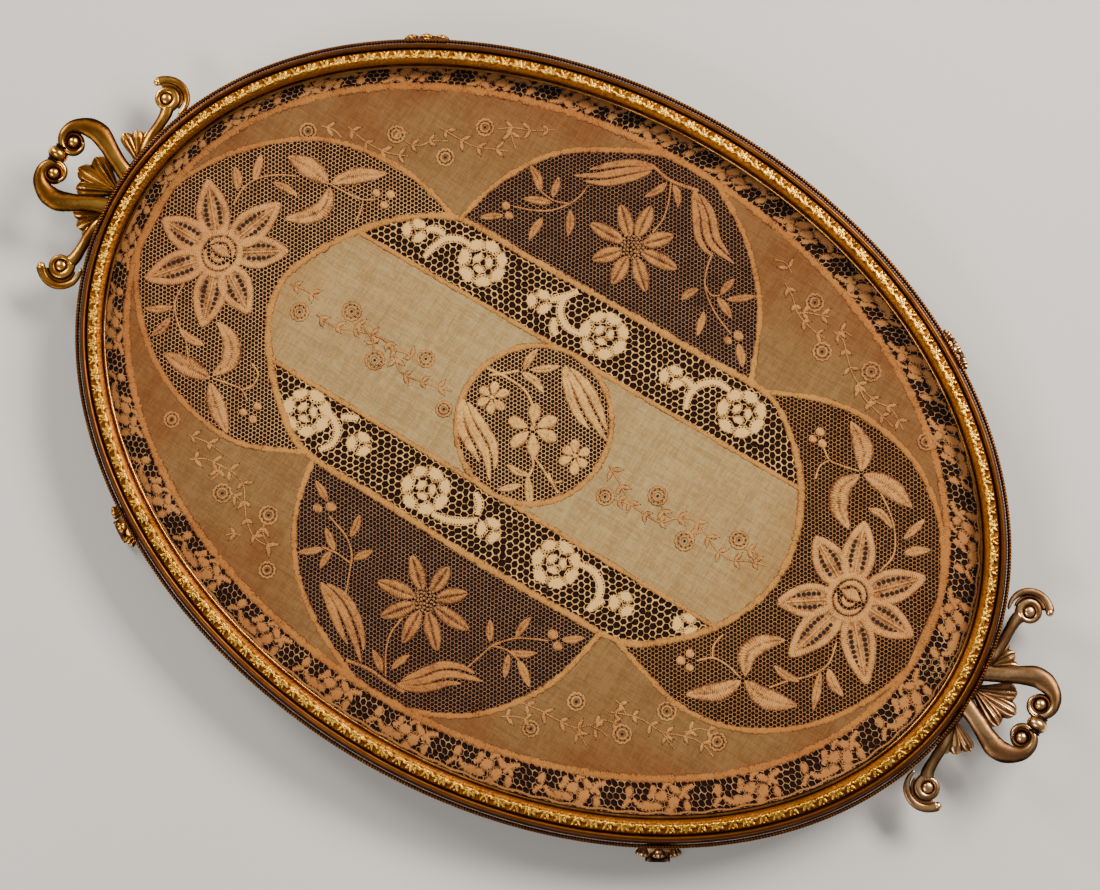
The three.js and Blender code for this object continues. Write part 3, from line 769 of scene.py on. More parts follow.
net_cotton = thread_finish("net_cotton", paint(244, 190, 124), paint(140, 96, 64), paint(226, 162, 98))
right_cotton = thread_finish("right_net_cotton", paint(200, 144, 84), paint(112, 72, 44), paint(184, 122, 66))
side_cotton = thread_finish("side_net_cotton", paint(180, 136, 100), paint(108, 76, 58), paint(166, 114, 76))
net_boxes = {
    "end_net_right": ((60, -64), (168, 73)), "end_net_left": ((-176, -64), (-74, 64)),
    "side_net_back": ((-72, 52), (62, 122)), "side_net_front": ((-72, -120), (62, -46)),
}
net_grounds = {}
for name in panel_outlines:
    ground = Surface()
    at_side = name.startswith("side")
    thread = 0.09 if at_side else 0.105
    knot_net(ground, in_panel(name), net_boxes[name], net_pitch, thread, 0.14, lace_bottom, 0.35)
    thread_colour = {"end_net_left": net_cotton, "end_net_right": right_cotton}.get(name, side_cotton)
    net_grounds[name] = ground.piece(f"{name}_ground", thread_colour, "net", [f"lace_{name}"])
ground = Surface()
medallion_box = ((-36, -30), (27, 36))
knot_net(ground, in_medallion, medallion_box, net_pitch, 0.105, 0.14, lace_bottom, 0.3)
net_grounds["medallion"] = ground.piece("medallion_ground", net_cotton, "net", ["lace_medallion"])

# ---- linen panels ----
# Fine linen lawn, greyed in the middle of the cloth and tea-brown towards the rim. It fills the
# four corners between the nets and the two halves of the long middle field.


def linen_finish(name, middle, rim, stain_from):
    """Plain-woven lawn: fine streaks both ways, a few thicker threads, and old damp stains."""
    linen = Finish(name, {"Roughness": 0.92, "Specular IOR Level": 0.2, "Sheen Weight": 0.1})
    reach = linen.node("VectorMath", {"operation": "LENGTH"},
                       {0: linen.stretched((1 / 0.165, 1 / 0.115, 0.0))}, output=1)
    stain = linen.ease(reach + (linen.noise(30, 4) - 0.5) * 1.1, stain_from, stain_from + 0.7)
    colour = linen.mix(middle, rim, stain)
    slubs = linen.noise(1.3, 2, (0.05, 1.0, 1.0)) + linen.noise(1.3, 2, (1.0, 0.05, 1.0)) - 1.0
    fine = linen.noise(0.45, 1, (1.0, 0.12, 1.0)) + linen.noise(0.45, 1, (0.12, 1.0, 1.0)) - 1.0
    tone = linen.ease(slubs * 0.8 + fine + (linen.noise(14, 3) - 0.5) * 0.4, -0.4, 0.4)
    linen.coat(linen.mix(linen.mix(colour, paint(218, 208, 196), 1.0, "MULTIPLY"), colour, tone))
    linen.bump(fine + slubs * 0.5, 0.14, 0.8)
    return linen


field_linen = linen_finish("field_linen", paint(180, 151, 102), paint(166, 124, 74), 0.35)
filling_linen = linen_finish("filling_linen", paint(142, 106, 63), paint(124, 73, 30), 0.6)


def lay_linen(surface, inside, box, step=1.25):
    """A sheet of small quads clipped to a region, with the slight waves of pressed cloth."""
    (x0, y0), (x1, y1) = box
    x, y = np.meshgrid(np.arange(x0, x1 + step, step), np.arange(y0, y1 + step, step), indexing="ij")
    corner = np.stack([x, y], -1)
    quads = np.stack([corner[:-1, :-1], corner[1:, :-1], corner[1:, 1:], corner[:-1, 1:]], 2)
    quads = clipped(quads.reshape(-1, 4, 2), inside).reshape(-1, 2)
    x, y = quads[:, 0], quads[:, 1]
    waves = 0.05 * np.sin(x / 5 + np.sin(y / 7) * 2) + 0.04 * np.sin(y / 4 + x / 9)
    points = np.column_stack([quads, lace_bottom + 0.08 + waves])
    faces = np.arange(len(points)).reshape(-1, 4)
    points, index = np.unique(np.round(points, 3), axis=0, return_inverse=True)
    faces = index.reshape(-1)[faces]
    proper = np.array([len(set(face)) == 4 for face in faces.tolist()])
    surface.patch(points, faces[proper], 1.0)


def in_fillings(points):
    """The corners left between the nets, the field and the edging."""
    taken = in_field(points)
    for outline in panel_outlines.values():
        taken |= in_outline(points, outline)
    return in_edging_oval(points) & ~taken


linens = {}
for side in ("back", "front"):
    for end in ("right", "left"):
        node = f"lace_filling_{side}_{end}"
        low, high = (np.array(corner[:2]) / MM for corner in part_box(node))
        lawn = Surface()
        lay_linen(lawn, lambda p: in_fillings(p) & ((p[..., 0] > 0) == (end == "right")),
                  (tuple(low - 1), tuple(high + 1)))
        linens[f"filling_{side}_{end}"] = lawn.piece(
            f"linen_filling_{side}_{end}", filling_linen, "linen", [node])
for end, sign in (("right", 1), ("left", -1)):
    node = f"lace_field_{end}"
    low, high = (np.array(corner[:2]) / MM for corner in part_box(node))
    lawn = Surface()
    lay_linen(lawn, lambda p: in_field(p) & in_band(p) & ~in_medallion(p) & (sign * (p[..., 0] + 4.5) > 0),
              (tuple(low - 1), tuple(high + 1)))
    linens[f"field_{end}"] = lawn.piece(f"linen_field_{end}", field_linen, "linen", [node])

# ---- embroidery on the nets ----
# Padded satin stitch in a heavier cotton: open flowers with barred petals at the ends, pointed
# stars at the sides, and a posy in the middle, all joined by corded stems.
embroidery_cotton = thread_finish(
    "satin_stitch_cotton", paint(218, 156, 88), paint(104, 62, 32), paint(192, 122, 62),
    stain_from=0.6, roughness=0.75,
)
side_stitch_cotton = thread_finish(
    "side_stitch_cotton", paint(196, 132, 68), paint(96, 54, 26), paint(172, 102, 46),
    stain_from=0.6, roughness=0.75,
)
posy_cotton = thread_finish(
    "posy_cotton", paint(234, 178, 100), paint(112, 70, 34), paint(212, 148, 80),
    stain_from=0.9, roughness=0.75,
)
stitch_step = 0.22


def satin_leaf(surface, knots, width, vein=0.55, crown=0.5, blunt=0.75, full=0.9):
    """A pointed leaf worked across from both sides of its midrib."""
    path = curve_through(knots, stitch_step)
    t = np.linspace(0, 1, len(path))
    half = width / 2 * np.clip(np.sin(math.pi * t**full), 0, 1) ** blunt + 0.1
    satin(surface, path, half, crown, vein=vein)


def corded_stem(surface, knots, half=0.42):
    satin(surface, curve_through(knots, stitch_step), half, 0.38, columns=6, pitch=0.9)


def berry(surface, x, y, radius):
    satin_leaf(surface, [[x - radius, y], [x + radius, y]], 2 * radius, vein=0.0, blunt=0.5)


def pierce(surface, x, y, radius, level=None):
    """A worked hole, so small that only its darkness shows."""
    level = lace_bottom + 0.24 if level is None else level
    turn = np.linspace(0, 2 * math.pi, 9)[:-1]
    ring = np.stack([x + radius * np.cos(turn), y + radius * np.sin(turn), np.full(8, level)], -1)
    points = np.concatenate([ring, [[x, y, level]]])
    surface.patch(points, [(k, (k + 1) % 8, 8) for k in range(8)], -2.0)


def barred_petal(surface, root, tip, width):
    """An open petal: a satin border round a worked filling, with holes beside its midrib."""
    root, tip = np.array(root, float), np.array(tip, float)
    axis = tip - root
    length = np.linalg.norm(axis)
    axis /= length
    side = np.array([-axis[1], axis[0]])
    border = 1.5
    t = np.linspace(0, 1, 30)
    spread = (width / 2 - border) * np.clip(np.sin(math.pi * (0.12 + 0.88 * t**0.85)), 0, 1) ** 0.85
    middle = root + axis * t[:, None] * (length - border * 0.6)
    edge = np.concatenate([middle + side * spread[:, None], (middle - side * spread[:, None])[-2::-1]])
    satin(surface, even_steps(edge, stitch_step), border, 0.52, slant=0.3, vein=0.0)
    filling = middle[:, None, :] + side * (spread[:, None] * np.linspace(1, -1, 3))[..., None]
    surface.grid(np.concatenate([filling, np.full((30, 3, 1), lace_bottom + 0.2)], -1), 0.5)
    satin(surface, even_steps(middle[2:27], stitch_step), 0.55, 0.3, base=lace_bottom + 0.2, columns=6)
    for along in np.arange(length * 0.2, length * 0.84, 1.9):
        reach = np.interp(along / length, t, spread)
        for turn in (1, -1):
            pierce(surface, *(root + axis * along + side * turn * (0.35 + 0.42 * reach)), 0.16 * reach + 0.1)


def rose_heart(surface, centre, radius):
    """The closed heart of an open flower: a ring with nested crescents inside it."""
    x, y = centre

    def arc(size, start, end):
        turn = np.radians(np.linspace(start, end, 40))
        path = np.stack([x + size * radius * np.cos(turn), y + size * radius * 1.08 * np.sin(turn)], -1)
        return even_steps(path, stitch_step)

    satin(surface, arc(0.86, 0, 360)[:-1], 1.5, 0.5, closed=True, slant=0.2)
    for size, start, end, half in (
            (0.56, 10, 170, 1.15), (0.58, 190, 350, 1.1), (0.28, 195, 345, 0.95), (0.3, 30, 150, 0.7)):
        path = arc(size, start, end)
        t = np.linspace(0, 1, len(path))
        satin(surface, path, half * np.sin(math.pi * t) ** 0.5 + 0.1, 0.45, slant=0.2)
    satin_leaf(surface, [[x - 0.45 * radius, y + 0.12 * radius], [x + 0.45 * radius, y + 0.12 * radius]],
               0.42 * radius, vein=0.0)


def open_flower(surface, centre, tips):
    for tip in tips:
        way = np.array(tip) - np.array(centre)
        root = np.array(centre) + way / np.linalg.norm(way) * 7.6
        barred_petal(surface, root, tip, 13.4)
    rose_heart(surface, centre, 9.2)


def star_flower(surface, centre, tips, seed):
    """Eight slit petals round a heart of small knots."""
    for tip in tips:
        way = np.array(tip) - np.array(centre)
        root = np.array(centre) + way / np.linalg.norm(way) * 4.4
        satin_leaf(surface, [root, tip], 6.2, vein=1.0, crown=0.6, blunt=0.55)
    chance = random.Random(seed)
    for k in range(44):
        turn, out = 2.4 * k, 5.2 * math.sqrt((k + 0.5) / 44)
        x = centre[0] + out * math.cos(turn) + chance.uniform(-0.15, 0.15)
        y = centre[1] + out * math.sin(turn) + chance.uniform(-0.15, 0.15)
        berry(surface, x, y, 0.48)


def feather(surface, knots, width):
    """A long curved leaf of three satin lobes laid side by side, so that slits show between."""
    spine = curve_through(knots, 1.0)
    along = np.gradient(spine, axis=0)
    along /= np.linalg.norm(along, axis=1, keepdims=True)
    left = np.stack([-along[:, 1], along[:, 0]], -1)
    t = np.linspace(0, 1, len(spine))[:, None]
    for offset, start, end in ((-0.38, 0.0, 0.8), (0.0, 0.0, 1.0), (0.38, 0.06, 0.9)):
        path = spine + left * offset * width * np.sin(math.pi * t) ** 0.7
        kept = path[int(start * len(path)):max(int(end * len(path)), 3)]
        satin_leaf(surface, kept[::2], width * 0.34, vein=0.25, blunt=0.6)


def embroider(name, ground, parts, cotton):
    """Works one panel's pattern into a piece of its own."""
    work = Surface()
    for stitch, *details in parts:
        stitch(work, *details)
    made = work.piece(f"{name}_embroidery", cotton, "net")
    lay_cloth(ground, [made])


end_left_work = [
    (open_flower, (-142.5, -3),
     [(-133, 25.5), (-120.5, 11.5), (-120.5, -17), (-133, -30.5), (-161.5, -26), (-168.5, -3), (-161.5, 19)]),
    (satin_leaf, [[-121, 42], [-130, 43.5], [-140, 43]], 8),
    (satin_leaf, [[-120, 42.5], [-115, 48.5], [-103.5, 57]], 6.5),
    (satin_leaf, [[-119.5, 41], [-117.5, 33], [-121, 27], [-128, 21.5]], 7.2),
    (corded_stem, [[-120.5, 42], [-112, 42.5], [-106, 43.5], [-102, 46]]),
    (corded_stem, [[-106, 43.5], [-104.5, 39], [-104, 34]]),
    (berry, -103, 48.3, 1.6), (berry, -98, 50.7, 1.7), (berry, -98, 45.8, 1.6),
    (corded_stem, [[-148, 16], [-148, 24], [-145, 30], [-139, 35], [-132, 38.5]]),
    (satin_leaf, [[-146, 28], [-147.5, 33], [-149.3, 38.5]], 3.6),
    (satin_leaf, [[-139.5, 31.3], [-134, 32], [-128.5, 31.5]], 3.2),
    (satin_leaf, [[-149.5, 21.5], [-152, 25.5], [-155.5, 29]], 4),
    (corded_stem, [[-148, -20], [-147, -28], [-142, -34], [-136, -38], [-131, -44]]),
    (satin_leaf, [[-147, -30], [-151, -33.5], [-156, -36]], 3.2),
    (satin_leaf, [[-145.5, -34], [-146, -39], [-148, -43.5]], 3.6),
    (satin_leaf, [[-140, -36], [-134, -37], [-128.5, -36.3]], 3.4),
    (satin_leaf, [[-120, -46], [-129, -46.5], [-140.5, -47]], 7.6),
    (satin_leaf, [[-119.5, -44.5], [-117, -36], [-121, -29.5], [-129, -26]], 7.4),
    (satin_leaf, [[-119, -47.5], [-113, -53], [-103, -60.5]], 7),
    (corded_stem, [[-119, -45.5], [-112, -44], [-107, -43.5], [-103, -46]]),
    (corded_stem, [[-107, -43.5], [-104.5, -40], [-105, -35], [-109, -33]]),
    (berry, -98.5, -45.8, 1.6), (berry, -102, -50.5, 1.6), (berry, -97.5, -51, 1.7),
]
end_right_work = [
    (open_flower, (132, 7.8),
     [(122.3, 35.5), (152.5, 29), (159.5, 7.5), (153.5, -17), (123.5, -23), (109.3, -8), (109.3, 21)]),
    (satin_leaf, [[111.5, 51.5], [108, 59], [98.5, 66]], 7.6),
    (satin_leaf, [[113, 51], [123, 51.8], [135, 49.5]], 8),
    (satin_leaf, [[111.5, 50], [108.3, 42], [111, 35.5], [118.5, 30]], 7.8),
    (corded_stem, [[110.5, 51], [104, 49.5], [99, 49], [94.5, 52]]),
    (berry, 90.5, 56.5, 1.8), (berry, 93.5, 53, 1.7), (berry, 89.5, 52.6, 1.6),
    (corded_stem, [[99, 49], [97, 45], [98, 40]]),
    (corded_stem, [[136.5, 22], [138, 30], [134, 38], [128, 44], [122, 48]]),
    (satin_leaf, [[121, 40.5], [126, 41.3], [132.5, 38.8]], 3.4),
    (satin_leaf, [[138.3, 37.5], [139.5, 42], [141.3, 48]], 3.4),
    (satin_leaf, [[141, 32.5], [144.5, 36], [149, 39]], 4),
    (corded_stem, [[136, -9], [137.5, -18], [134, -25], [128, -31], [123, -37]]),
    (satin_leaf, [[136.5, -22], [139, -29], [141.5, -36]], 3.4),
    (satin_leaf, [[138.5, -19.5], [143, -23.5], [148.5, -25.5]], 4.2),
    (satin_leaf, [[120.5, -29], [126, -30], [131.5, -29.3]], 3.4),
    (satin_leaf, [[113, -38], [109.6, -30], [112.5, -24], [119, -18.5]], 7.6),
    (satin_leaf, [[114, -39.5], [123, -41.3], [135.5, -37.5]], 7.8),
    (satin_leaf, [[112.5, -40.5], [108, -47.5], [97.5, -55.5]], 7.2),
    (corded_stem, [[112, -39.5], [105, -38], [99, -38.5], [94.5, -42.5]]),
    (corded_stem, [[99, -38.5], [97, -34], [98, -29]]),
    (berry, 91, -41.5, 1.7), (berry, 89.3, -45.5, 1.8), (berry, 93.5, -46, 1.6),
]
side_back_work = [
    (star_flower, (-7.5, 81),
     [(-9.5, 98.5), (3.8, 93), (11.5, 82.5), (5.8, 68.8), (-6.8, 64.5), (-18.3, 68.8), (-26, 80.5),
      (-19.8, 93)], 1),
    (feather, [[-15.5, 112.5], [-24, 106], [-33, 98.5], [-42, 93]], 9),
    (feather, [[1.5, 112.5], [9, 106.5], [17, 98], [29.5, 95.5]], 9),
    (corded_stem, [[-18, 112.5], [-8, 111], [3, 113]], 0.8),
    (satin_leaf, [[-9, 109.5], [-10.5, 105], [-13.5, 100.5]], 3.2),
    (satin_leaf, [[-6.5, 110], [-3, 107.5], [-0.5, 103.5]], 3.2),
    (corded_stem, [[-8, 111], [-4.5, 103], [-3, 96], [-3.8, 90]]),
    (corded_stem, [[-34.5, 93], [-35, 88], [-37, 83], [-42, 77], [-48, 73.5], [-55, 71]]),
    (satin_leaf, [[-35.5, 81], [-33, 77], [-31, 72]], 3.6),
    (satin_leaf, [[-44, 82], [-44.8, 86], [-46, 90]], 3.2),
    (satin_leaf, [[-49, 81.5], [-53, 85.5], [-58, 88.3]], 3.8),
    (satin_leaf, [[-43, 80], [-48, 78], [-53.5, 75.5]], 3.4),
    (corded_stem, [[-37, 83], [-43, 81], [-49, 81.5]]),
    (satin_leaf, [[-43, 73], [-43.3, 68], [-43, 63]], 3.4),
    (berry, -57.5, 69.8, 1.7), (berry, -54.5, 67, 1.7),
    (satin_leaf, [[-56.5, 66], [-60, 63.5], [-64, 60.5]], 3),
    (corded_stem, [[20, 95], [21.5, 88], [24, 82.5], [30, 77], [36, 73.8], [42, 71.5]]),
    (satin_leaf, [[22.5, 80], [20.5, 77], [19, 73]], 3.4),
    (satin_leaf, [[31, 82.5], [31.3, 86], [32.5, 90.5]], 3.2),
    (satin_leaf, [[34, 82], [38, 85], [43, 89]], 3),
    (satin_leaf, [[30.5, 81], [35, 79], [39.5, 76.8]], 3.4),
    (corded_stem, [[24, 82.5], [28, 80.5], [31, 82]]),
    (satin_leaf, [[29, 73.5], [30.3, 69], [31.5, 64]], 3),
    (berry, 45, 72.3, 2.0), (berry, 42.5, 68.5, 1.7),
    (satin_leaf, [[46.5, 69.5], [49.5, 66.5], [52.5, 62.5]], 3.6),
]
side_front_work = [
    (star_flower, (-5, -76),
     [(-4, -60.5), (7.2, -65.3), (14.8, -77), (8.7, -89.8), (-4, -94), (-16.3, -89.8), (-24.3, -79),
      (-18.3, -64)], 2),
    (feather, [[-42.5, -90.3], [-33, -93.5], [-22, -101], [-13, -109]], 10),
    (feather, [[2, -108.5], [9, -103], [17, -95], [30.5, -90.3]], 9.5),
    (corded_stem, [[-19, -110.5], [-10, -109], [-2, -109.5], [6, -109.5]], 0.8),
    (corded_stem, [[-3, -108], [-8, -99.5], [-9.8, -93], [-9, -86]]),
    (satin_leaf, [[-2.5, -104.5], [-1.5, -101], [0.5, -96.5]], 2.8),
    (satin_leaf, [[-5, -107.5], [-8.5, -104.5], [-12.5, -102]], 3.2),
    (corded_stem, [[-31.5, -91], [-35.5, -81], [-38, -75.5], [-43, -71], [-53, -67.5]]),
    (satin_leaf, [[-36.5, -76.5], [-34, -73], [-32, -70]], 3.4),
    (satin_leaf, [[-42, -70], [-42.3, -66], [-43.3, -61]], 3.4),
    (satin_leaf, [[-44.5, -77.5], [-48, -75], [-52, -71.8]], 3.2),
    (satin_leaf, [[-45.5, -78.5], [-45.8, -82], [-45.5, -86.3]], 3),
    (satin_leaf, [[-48.5, -79], [-51.5, -82], [-56, -85.3]], 3.2),
    (corded_stem, [[-37, -78.5], [-43, -78], [-49, -78.8]]),
    (berry, -54.3, -64, 2.1), (berry, -58.3, -67.2, 1.9),
    (satin_leaf, [[-56.5, -63], [-60, -61], [-64.5, -58.5]], 3.2),
    (corded_stem, [[21.8, -89], [24, -82], [25.5, -77.5], [31, -71], [36, -68], [42.5, -65]]),
    (satin_leaf, [[24, -76.5], [22, -73.5], [19.8, -69.5]], 3.4),
    (satin_leaf, [[31.5, -70], [31.5, -66], [32.3, -60.8]], 3.4),
    (satin_leaf, [[32, -76], [36.5, -74.5], [41.5, -71]], 3),
    (satin_leaf, [[36.5, -77], [40.5, -79.5], [45.5, -83.5]], 3.4),
    (satin_leaf, [[32.5, -77], [34, -81], [35.8, -85.5]], 3),
    (corded_stem, [[25.5, -77.5], [31, -76], [37, -77]]),
    (berry, 43, -62, 2.1), (berry, 46.8, -64.8, 1.9),
    (satin_leaf, [[47, -62], [50, -60], [53.8, -56.8]], 3.2),
]


def plump_flower(surface, centre, tips, width):
    for tip in tips:
        root = [middle + 0.16 * (end - middle) for middle, end in zip(centre, tip)]
        satin_leaf(surface, [root, tip], width, vein=0.3, crown=0.65, blunt=0.55, full=1.5)
    berry(surface, *centre, 0.9)


medallion_work = [
    (corded_stem, [[-31, 12], [-22, 12.8], [-14, 12], [-8, 8], [-4, 2]], 0.6),
    (corded_stem, [[-29, 10], [-24, 14], [-20, 17.5]], 0.6),
    (corded_stem, [[0, -7], [3.5, -11], [4, -16]], 0.6),
    (corded_stem, [[2, -8], [9, -11], [17, -15]], 0.6),
    (corded_stem, [[10, -10.5], [13, -12.5], [16, -10.5]], 0.5),
    (plump_flower, (-4.2, 1),
     [(1.8, 9.2), (6, 2), (1.8, -8), (-7.5, -9), (-13.8, -0.8), (-8, 10)], 5.2),
    (plump_flower, (-23.5, 3.4),
     [(-29.6, 4.2), (-25.5, 9.3), (-19.2, 8.5), (-17.2, 1.5), (-20.8, -2.6), (-27, -1.8)], 3.9),
    (plump_flower, (15.3, 0.4),
     [(11.8, 5.8), (18.8, 5.2), (21, -1), (18.6, -6.2), (11.2, -5), (9.6, 0.8)], 3.9),
    (feather, [[-6, 28.3], [2, 23.5], [12, 17], [23, 11.3]], 11),
    (feather, [[-33, -2.5], [-25, -10], [-15, -16], [-7.5, -24.5]], 11),
    (satin_leaf, [[-18.5, 18.5], [-19, 23], [-18.3, 28.3]], 3.2),
    (satin_leaf, [[-16.5, 20], [-12, 23], [-7.5, 27]], 3.2),
    (satin_leaf, [[-19, 17.5], [-13, 17.2], [-7.5, 15]], 3.4),
    (satin_leaf, [[3.8, -14.8], [0, -16], [-5.5, -15.8]], 3.0),
    (satin_leaf, [[4, -16], [7, -20], [10.5, -24.8]], 3.4),
    (satin_leaf, [[3.5, -19.5], [0.5, -22.5], [-3.5, -26]], 2.8),
]
embroider("end_net_left", net_grounds["end_net_left"], end_left_work, embroidery_cotton)
embroider("end_net_right", net_grounds["end_net_right"], end_right_work, embroidery_cotton)
embroider("side_net_back", net_grounds["side_net_back"], side_back_work, side_stitch_cotton)
embroider("side_net_front", net_grounds["side_net_front"], side_front_work, side_stitch_cotton)
embroider("medallion", net_grounds["medallion"], medallion_work, posy_cotton)

# ---- vines on the linen ----
# Fine white-work on the lawn: a wavering stem with small leaves and round wheel roses, and
# pierced eyelets along it that show dark.
vine_cotton = thread_finish(
    "vine_cotton", paint(200, 144, 82), paint(120, 76, 42), paint(168, 106, 54), stain_from=0.6
)
vine_base = lace_bottom + 0.14


def eyelet(surface, x, y, radius):
    pierce(surface, x, y, radius, vine_base + 0.1)


def wheel_rose(surface, x, y, radius):
    turn = np.linspace(0, 2 * math.pi, 60)
    for size, half in ((0.9, 0.55), (0.48, 0.5)):
        wobble = size * radius * (1 + 0.06 * np.sin(11 * turn + x))
        path = even_steps(
            np.stack([x + wobble * np.cos(turn), y + wobble * np.sin(turn)], -1), stitch_step, True)
        satin(surface, path, half, 0.26, base=vine_base, closed=True, columns=5, pitch=0.7)
    eyelet(surface, x, y, 0.55)
    for k in range(9):
        angle = 0.7 * k + x
        eyelet(surface, x + 0.7 * radius * math.cos(angle), y + 0.7 * radius * math.sin(angle), 0.28)


def vine(surface, knots, chance):
    """A stem with a pair of small round leaves every few millimetres and eyelets by them."""
    path = curve_through(knots, stitch_step)
    satin(surface, path, 0.36, 0.24, base=vine_base, columns=5, pitch=0.9)
    for k in range(9, len(path) - 4, 32):
        way = path[k + 3] - path[k]
        for turn in (-1, 1):
            angle = math.atan2(way[1], way[0]) + turn * chance.uniform(0.6, 1.1)
            length = chance.uniform(2.6, 4.2)
            tip = path[k] + length * np.array([math.cos(angle), math.sin(angle)])
            leaf = even_steps(np.array([path[k], tip]), stitch_step)
            t = np.linspace(0, 1, len(leaf))
            satin(surface, leaf, 0.9 * np.sin(math.pi * t**1.2) ** 0.7 + 0.1, 0.3, base=vine_base, columns=5)
            eyelet(surface, *(tip + 0.5 * (tip - path[k]) / length), 0.22)


vine_work = {
    "field_left": (
        [(-104, -6.5, 3.5), (-87, 4, 3.7), (-69.5, -7.5, 3.7), (-53, 3, 3.3), (-37, -10, 3.0)],
        [[[-113, 1], [-106, 2], [-100, 1.5]],
         [[-98, -4], [-90, -4.5], [-84, -2.5], [-77, 0], [-70, 1], [-64, -2], [-59, -6],
          [-50, -5.5], [-38, -2.5]],
         [[-84, 0.5], [-80, 1], [-77, 0]], [[-72, -4], [-75, -1], [-77, 0]],
         [[-56, 0], [-61, 1], [-66, -1]]]),
    "field_right": (
        [(33, -7, 3.3), (50, 3.5, 3.6), (67.5, -6, 3.7), (85, 5, 3.5)],
        [[[28, 4], [33, 1.5], [38, -1.5], [44, -4.5], [50, -5], [56, -4.5], [60, -0.5], [66, 2.5], [72, 1],
          [79, -2.5], [86, -3], [92, 0], [99, 2]],
         [[36, -6], [41, -5], [44, -4.5]], [[53, 1], [57, -1], [60, -0.5]], [[66, -3], [70, -1], [72, 1]],
         [[88, 3], [92, 4], [97, 3]]]),
    "filling_back_right": (
        [(63.5, 98.5, 3.5), (75.5, 83.5, 3.7), (95.5, 86.5, 3.9), (127, 74, 3.4)],
        [[[50, 99], [55, 96], [60, 91.5], [68, 89], [74, 88.5]],
         [[60, 91.5], [63, 93.5], [67, 95], [71, 96.5]],
         [[75, 92.5], [80, 91.5], [84, 87.5], [90, 82], [96, 79], [103, 77.5], [109, 78], [117, 73.5]],
         [[93, 80.5], [98, 76.5], [105, 74.5], [113, 72.5]], [[76, 92.5], [79, 94.5], [82, 94.5]],
         [[50, 104], [46, 106], [42, 105]]]),
    "filling_back_left": (
        [(-80.5, 92, 3.5), (-87.5, 74, 3.5), (-108.5, 72, 3.5), (-138.5, 55.5, 3.3)],
        [[[-57, 105], [-64, 100.5], [-71, 97.5], [-76, 94]],
         [[-95, 83], [-88, 83], [-80, 83.5], [-73, 86.5], [-68, 88.5]],
         [[-110, 74], [-104, 71.5], [-99, 72.5], [-95, 77], [-90, 80]],
         [[-126, 65], [-118, 63.5], [-108, 64], [-100, 67]],
         [[-72, 97], [-69, 93.5], [-66, 91]], [[-135, 60], [-130, 61], [-126, 60]]]),
    "filling_front_right": (
        [(63.5, -79, 3.5), (84.5, -80.5, 3.7), (94.5, -64.5, 3.7), (116.5, -64.5, 3.5), (54, -96.5, 3.2)],
        [[[46, -90], [54, -88.8], [61, -88.5], [68, -87.5], [72.5, -83.5], [76, -79.5], [82, -78]],
         [[76, -76], [82, -73.5], [88, -72], [97, -72], [104, -69.5], [111, -68], [118, -70]],
         [[68, -88], [72, -89.5], [75, -91]], [[72.5, -84], [77, -83.5], [80, -84]],
         [[97, -72], [101, -74], [104, -75]],
         [[104, -68], [108, -64], [112, -62.5]], [[42, -98.5], [47, -95.5], [51, -94.5]],
         [[76, -71], [79, -71.5], [82, -73.5]]]),
    "filling_front_left": (
        [(-124, -67, 3.1), (-92.5, -81, 3.7), (-73, -79, 3.7), (-62.5, -97, 3.2)],
        [[[-110, -76.5], [-105, -73.2], [-98, -72.3], [-92, -72.3], [-87, -74.5],
          [-83, -80], [-79, -85], [-73, -89], [-66, -89]],
         [[-90, -79], [-86, -79.5], [-82, -81]], [[-116, -69], [-108, -67.5], [-100, -68]],
         [[-99, -72], [-98, -76], [-99, -79]],
         [[-73, -82], [-71, -86], [-66, -89]], [[-78, -91], [-81, -92], [-83, -94]]]),
}
for name, (roses, stems) in vine_work.items():
    vines = Surface()
    chance = random.Random(name)
    for x, y, radius in roses:
        wheel_rose(vines, x, y, radius)
    for knots in stems:
        vine(vines, knots, chance)
    lay_cloth(linens[name], [vines.piece(f"{name}_vine", vine_cotton, "linen")])

# ---- bobbin-lace insertions ----
# Two strips of Valenciennes-type lace between the linen field and its border: dense clothwork
# flowers and hooked scrolls, edged with pinholes, on a ground of plaited meshes.
insertion_cotton = thread_finish(
    "insertion_cotton", paint(236, 186, 114), paint(128, 90, 52), paint(208, 150, 84),
    weave=0.4, stain_from=0.55,
)
mesh_pitch = 2.7
insertion_box = ((-112, -56), (104, 62))
cloth_level = lace_bottom + 0.2
lobe_lap = 0.03
lobe_stretch = 1.22


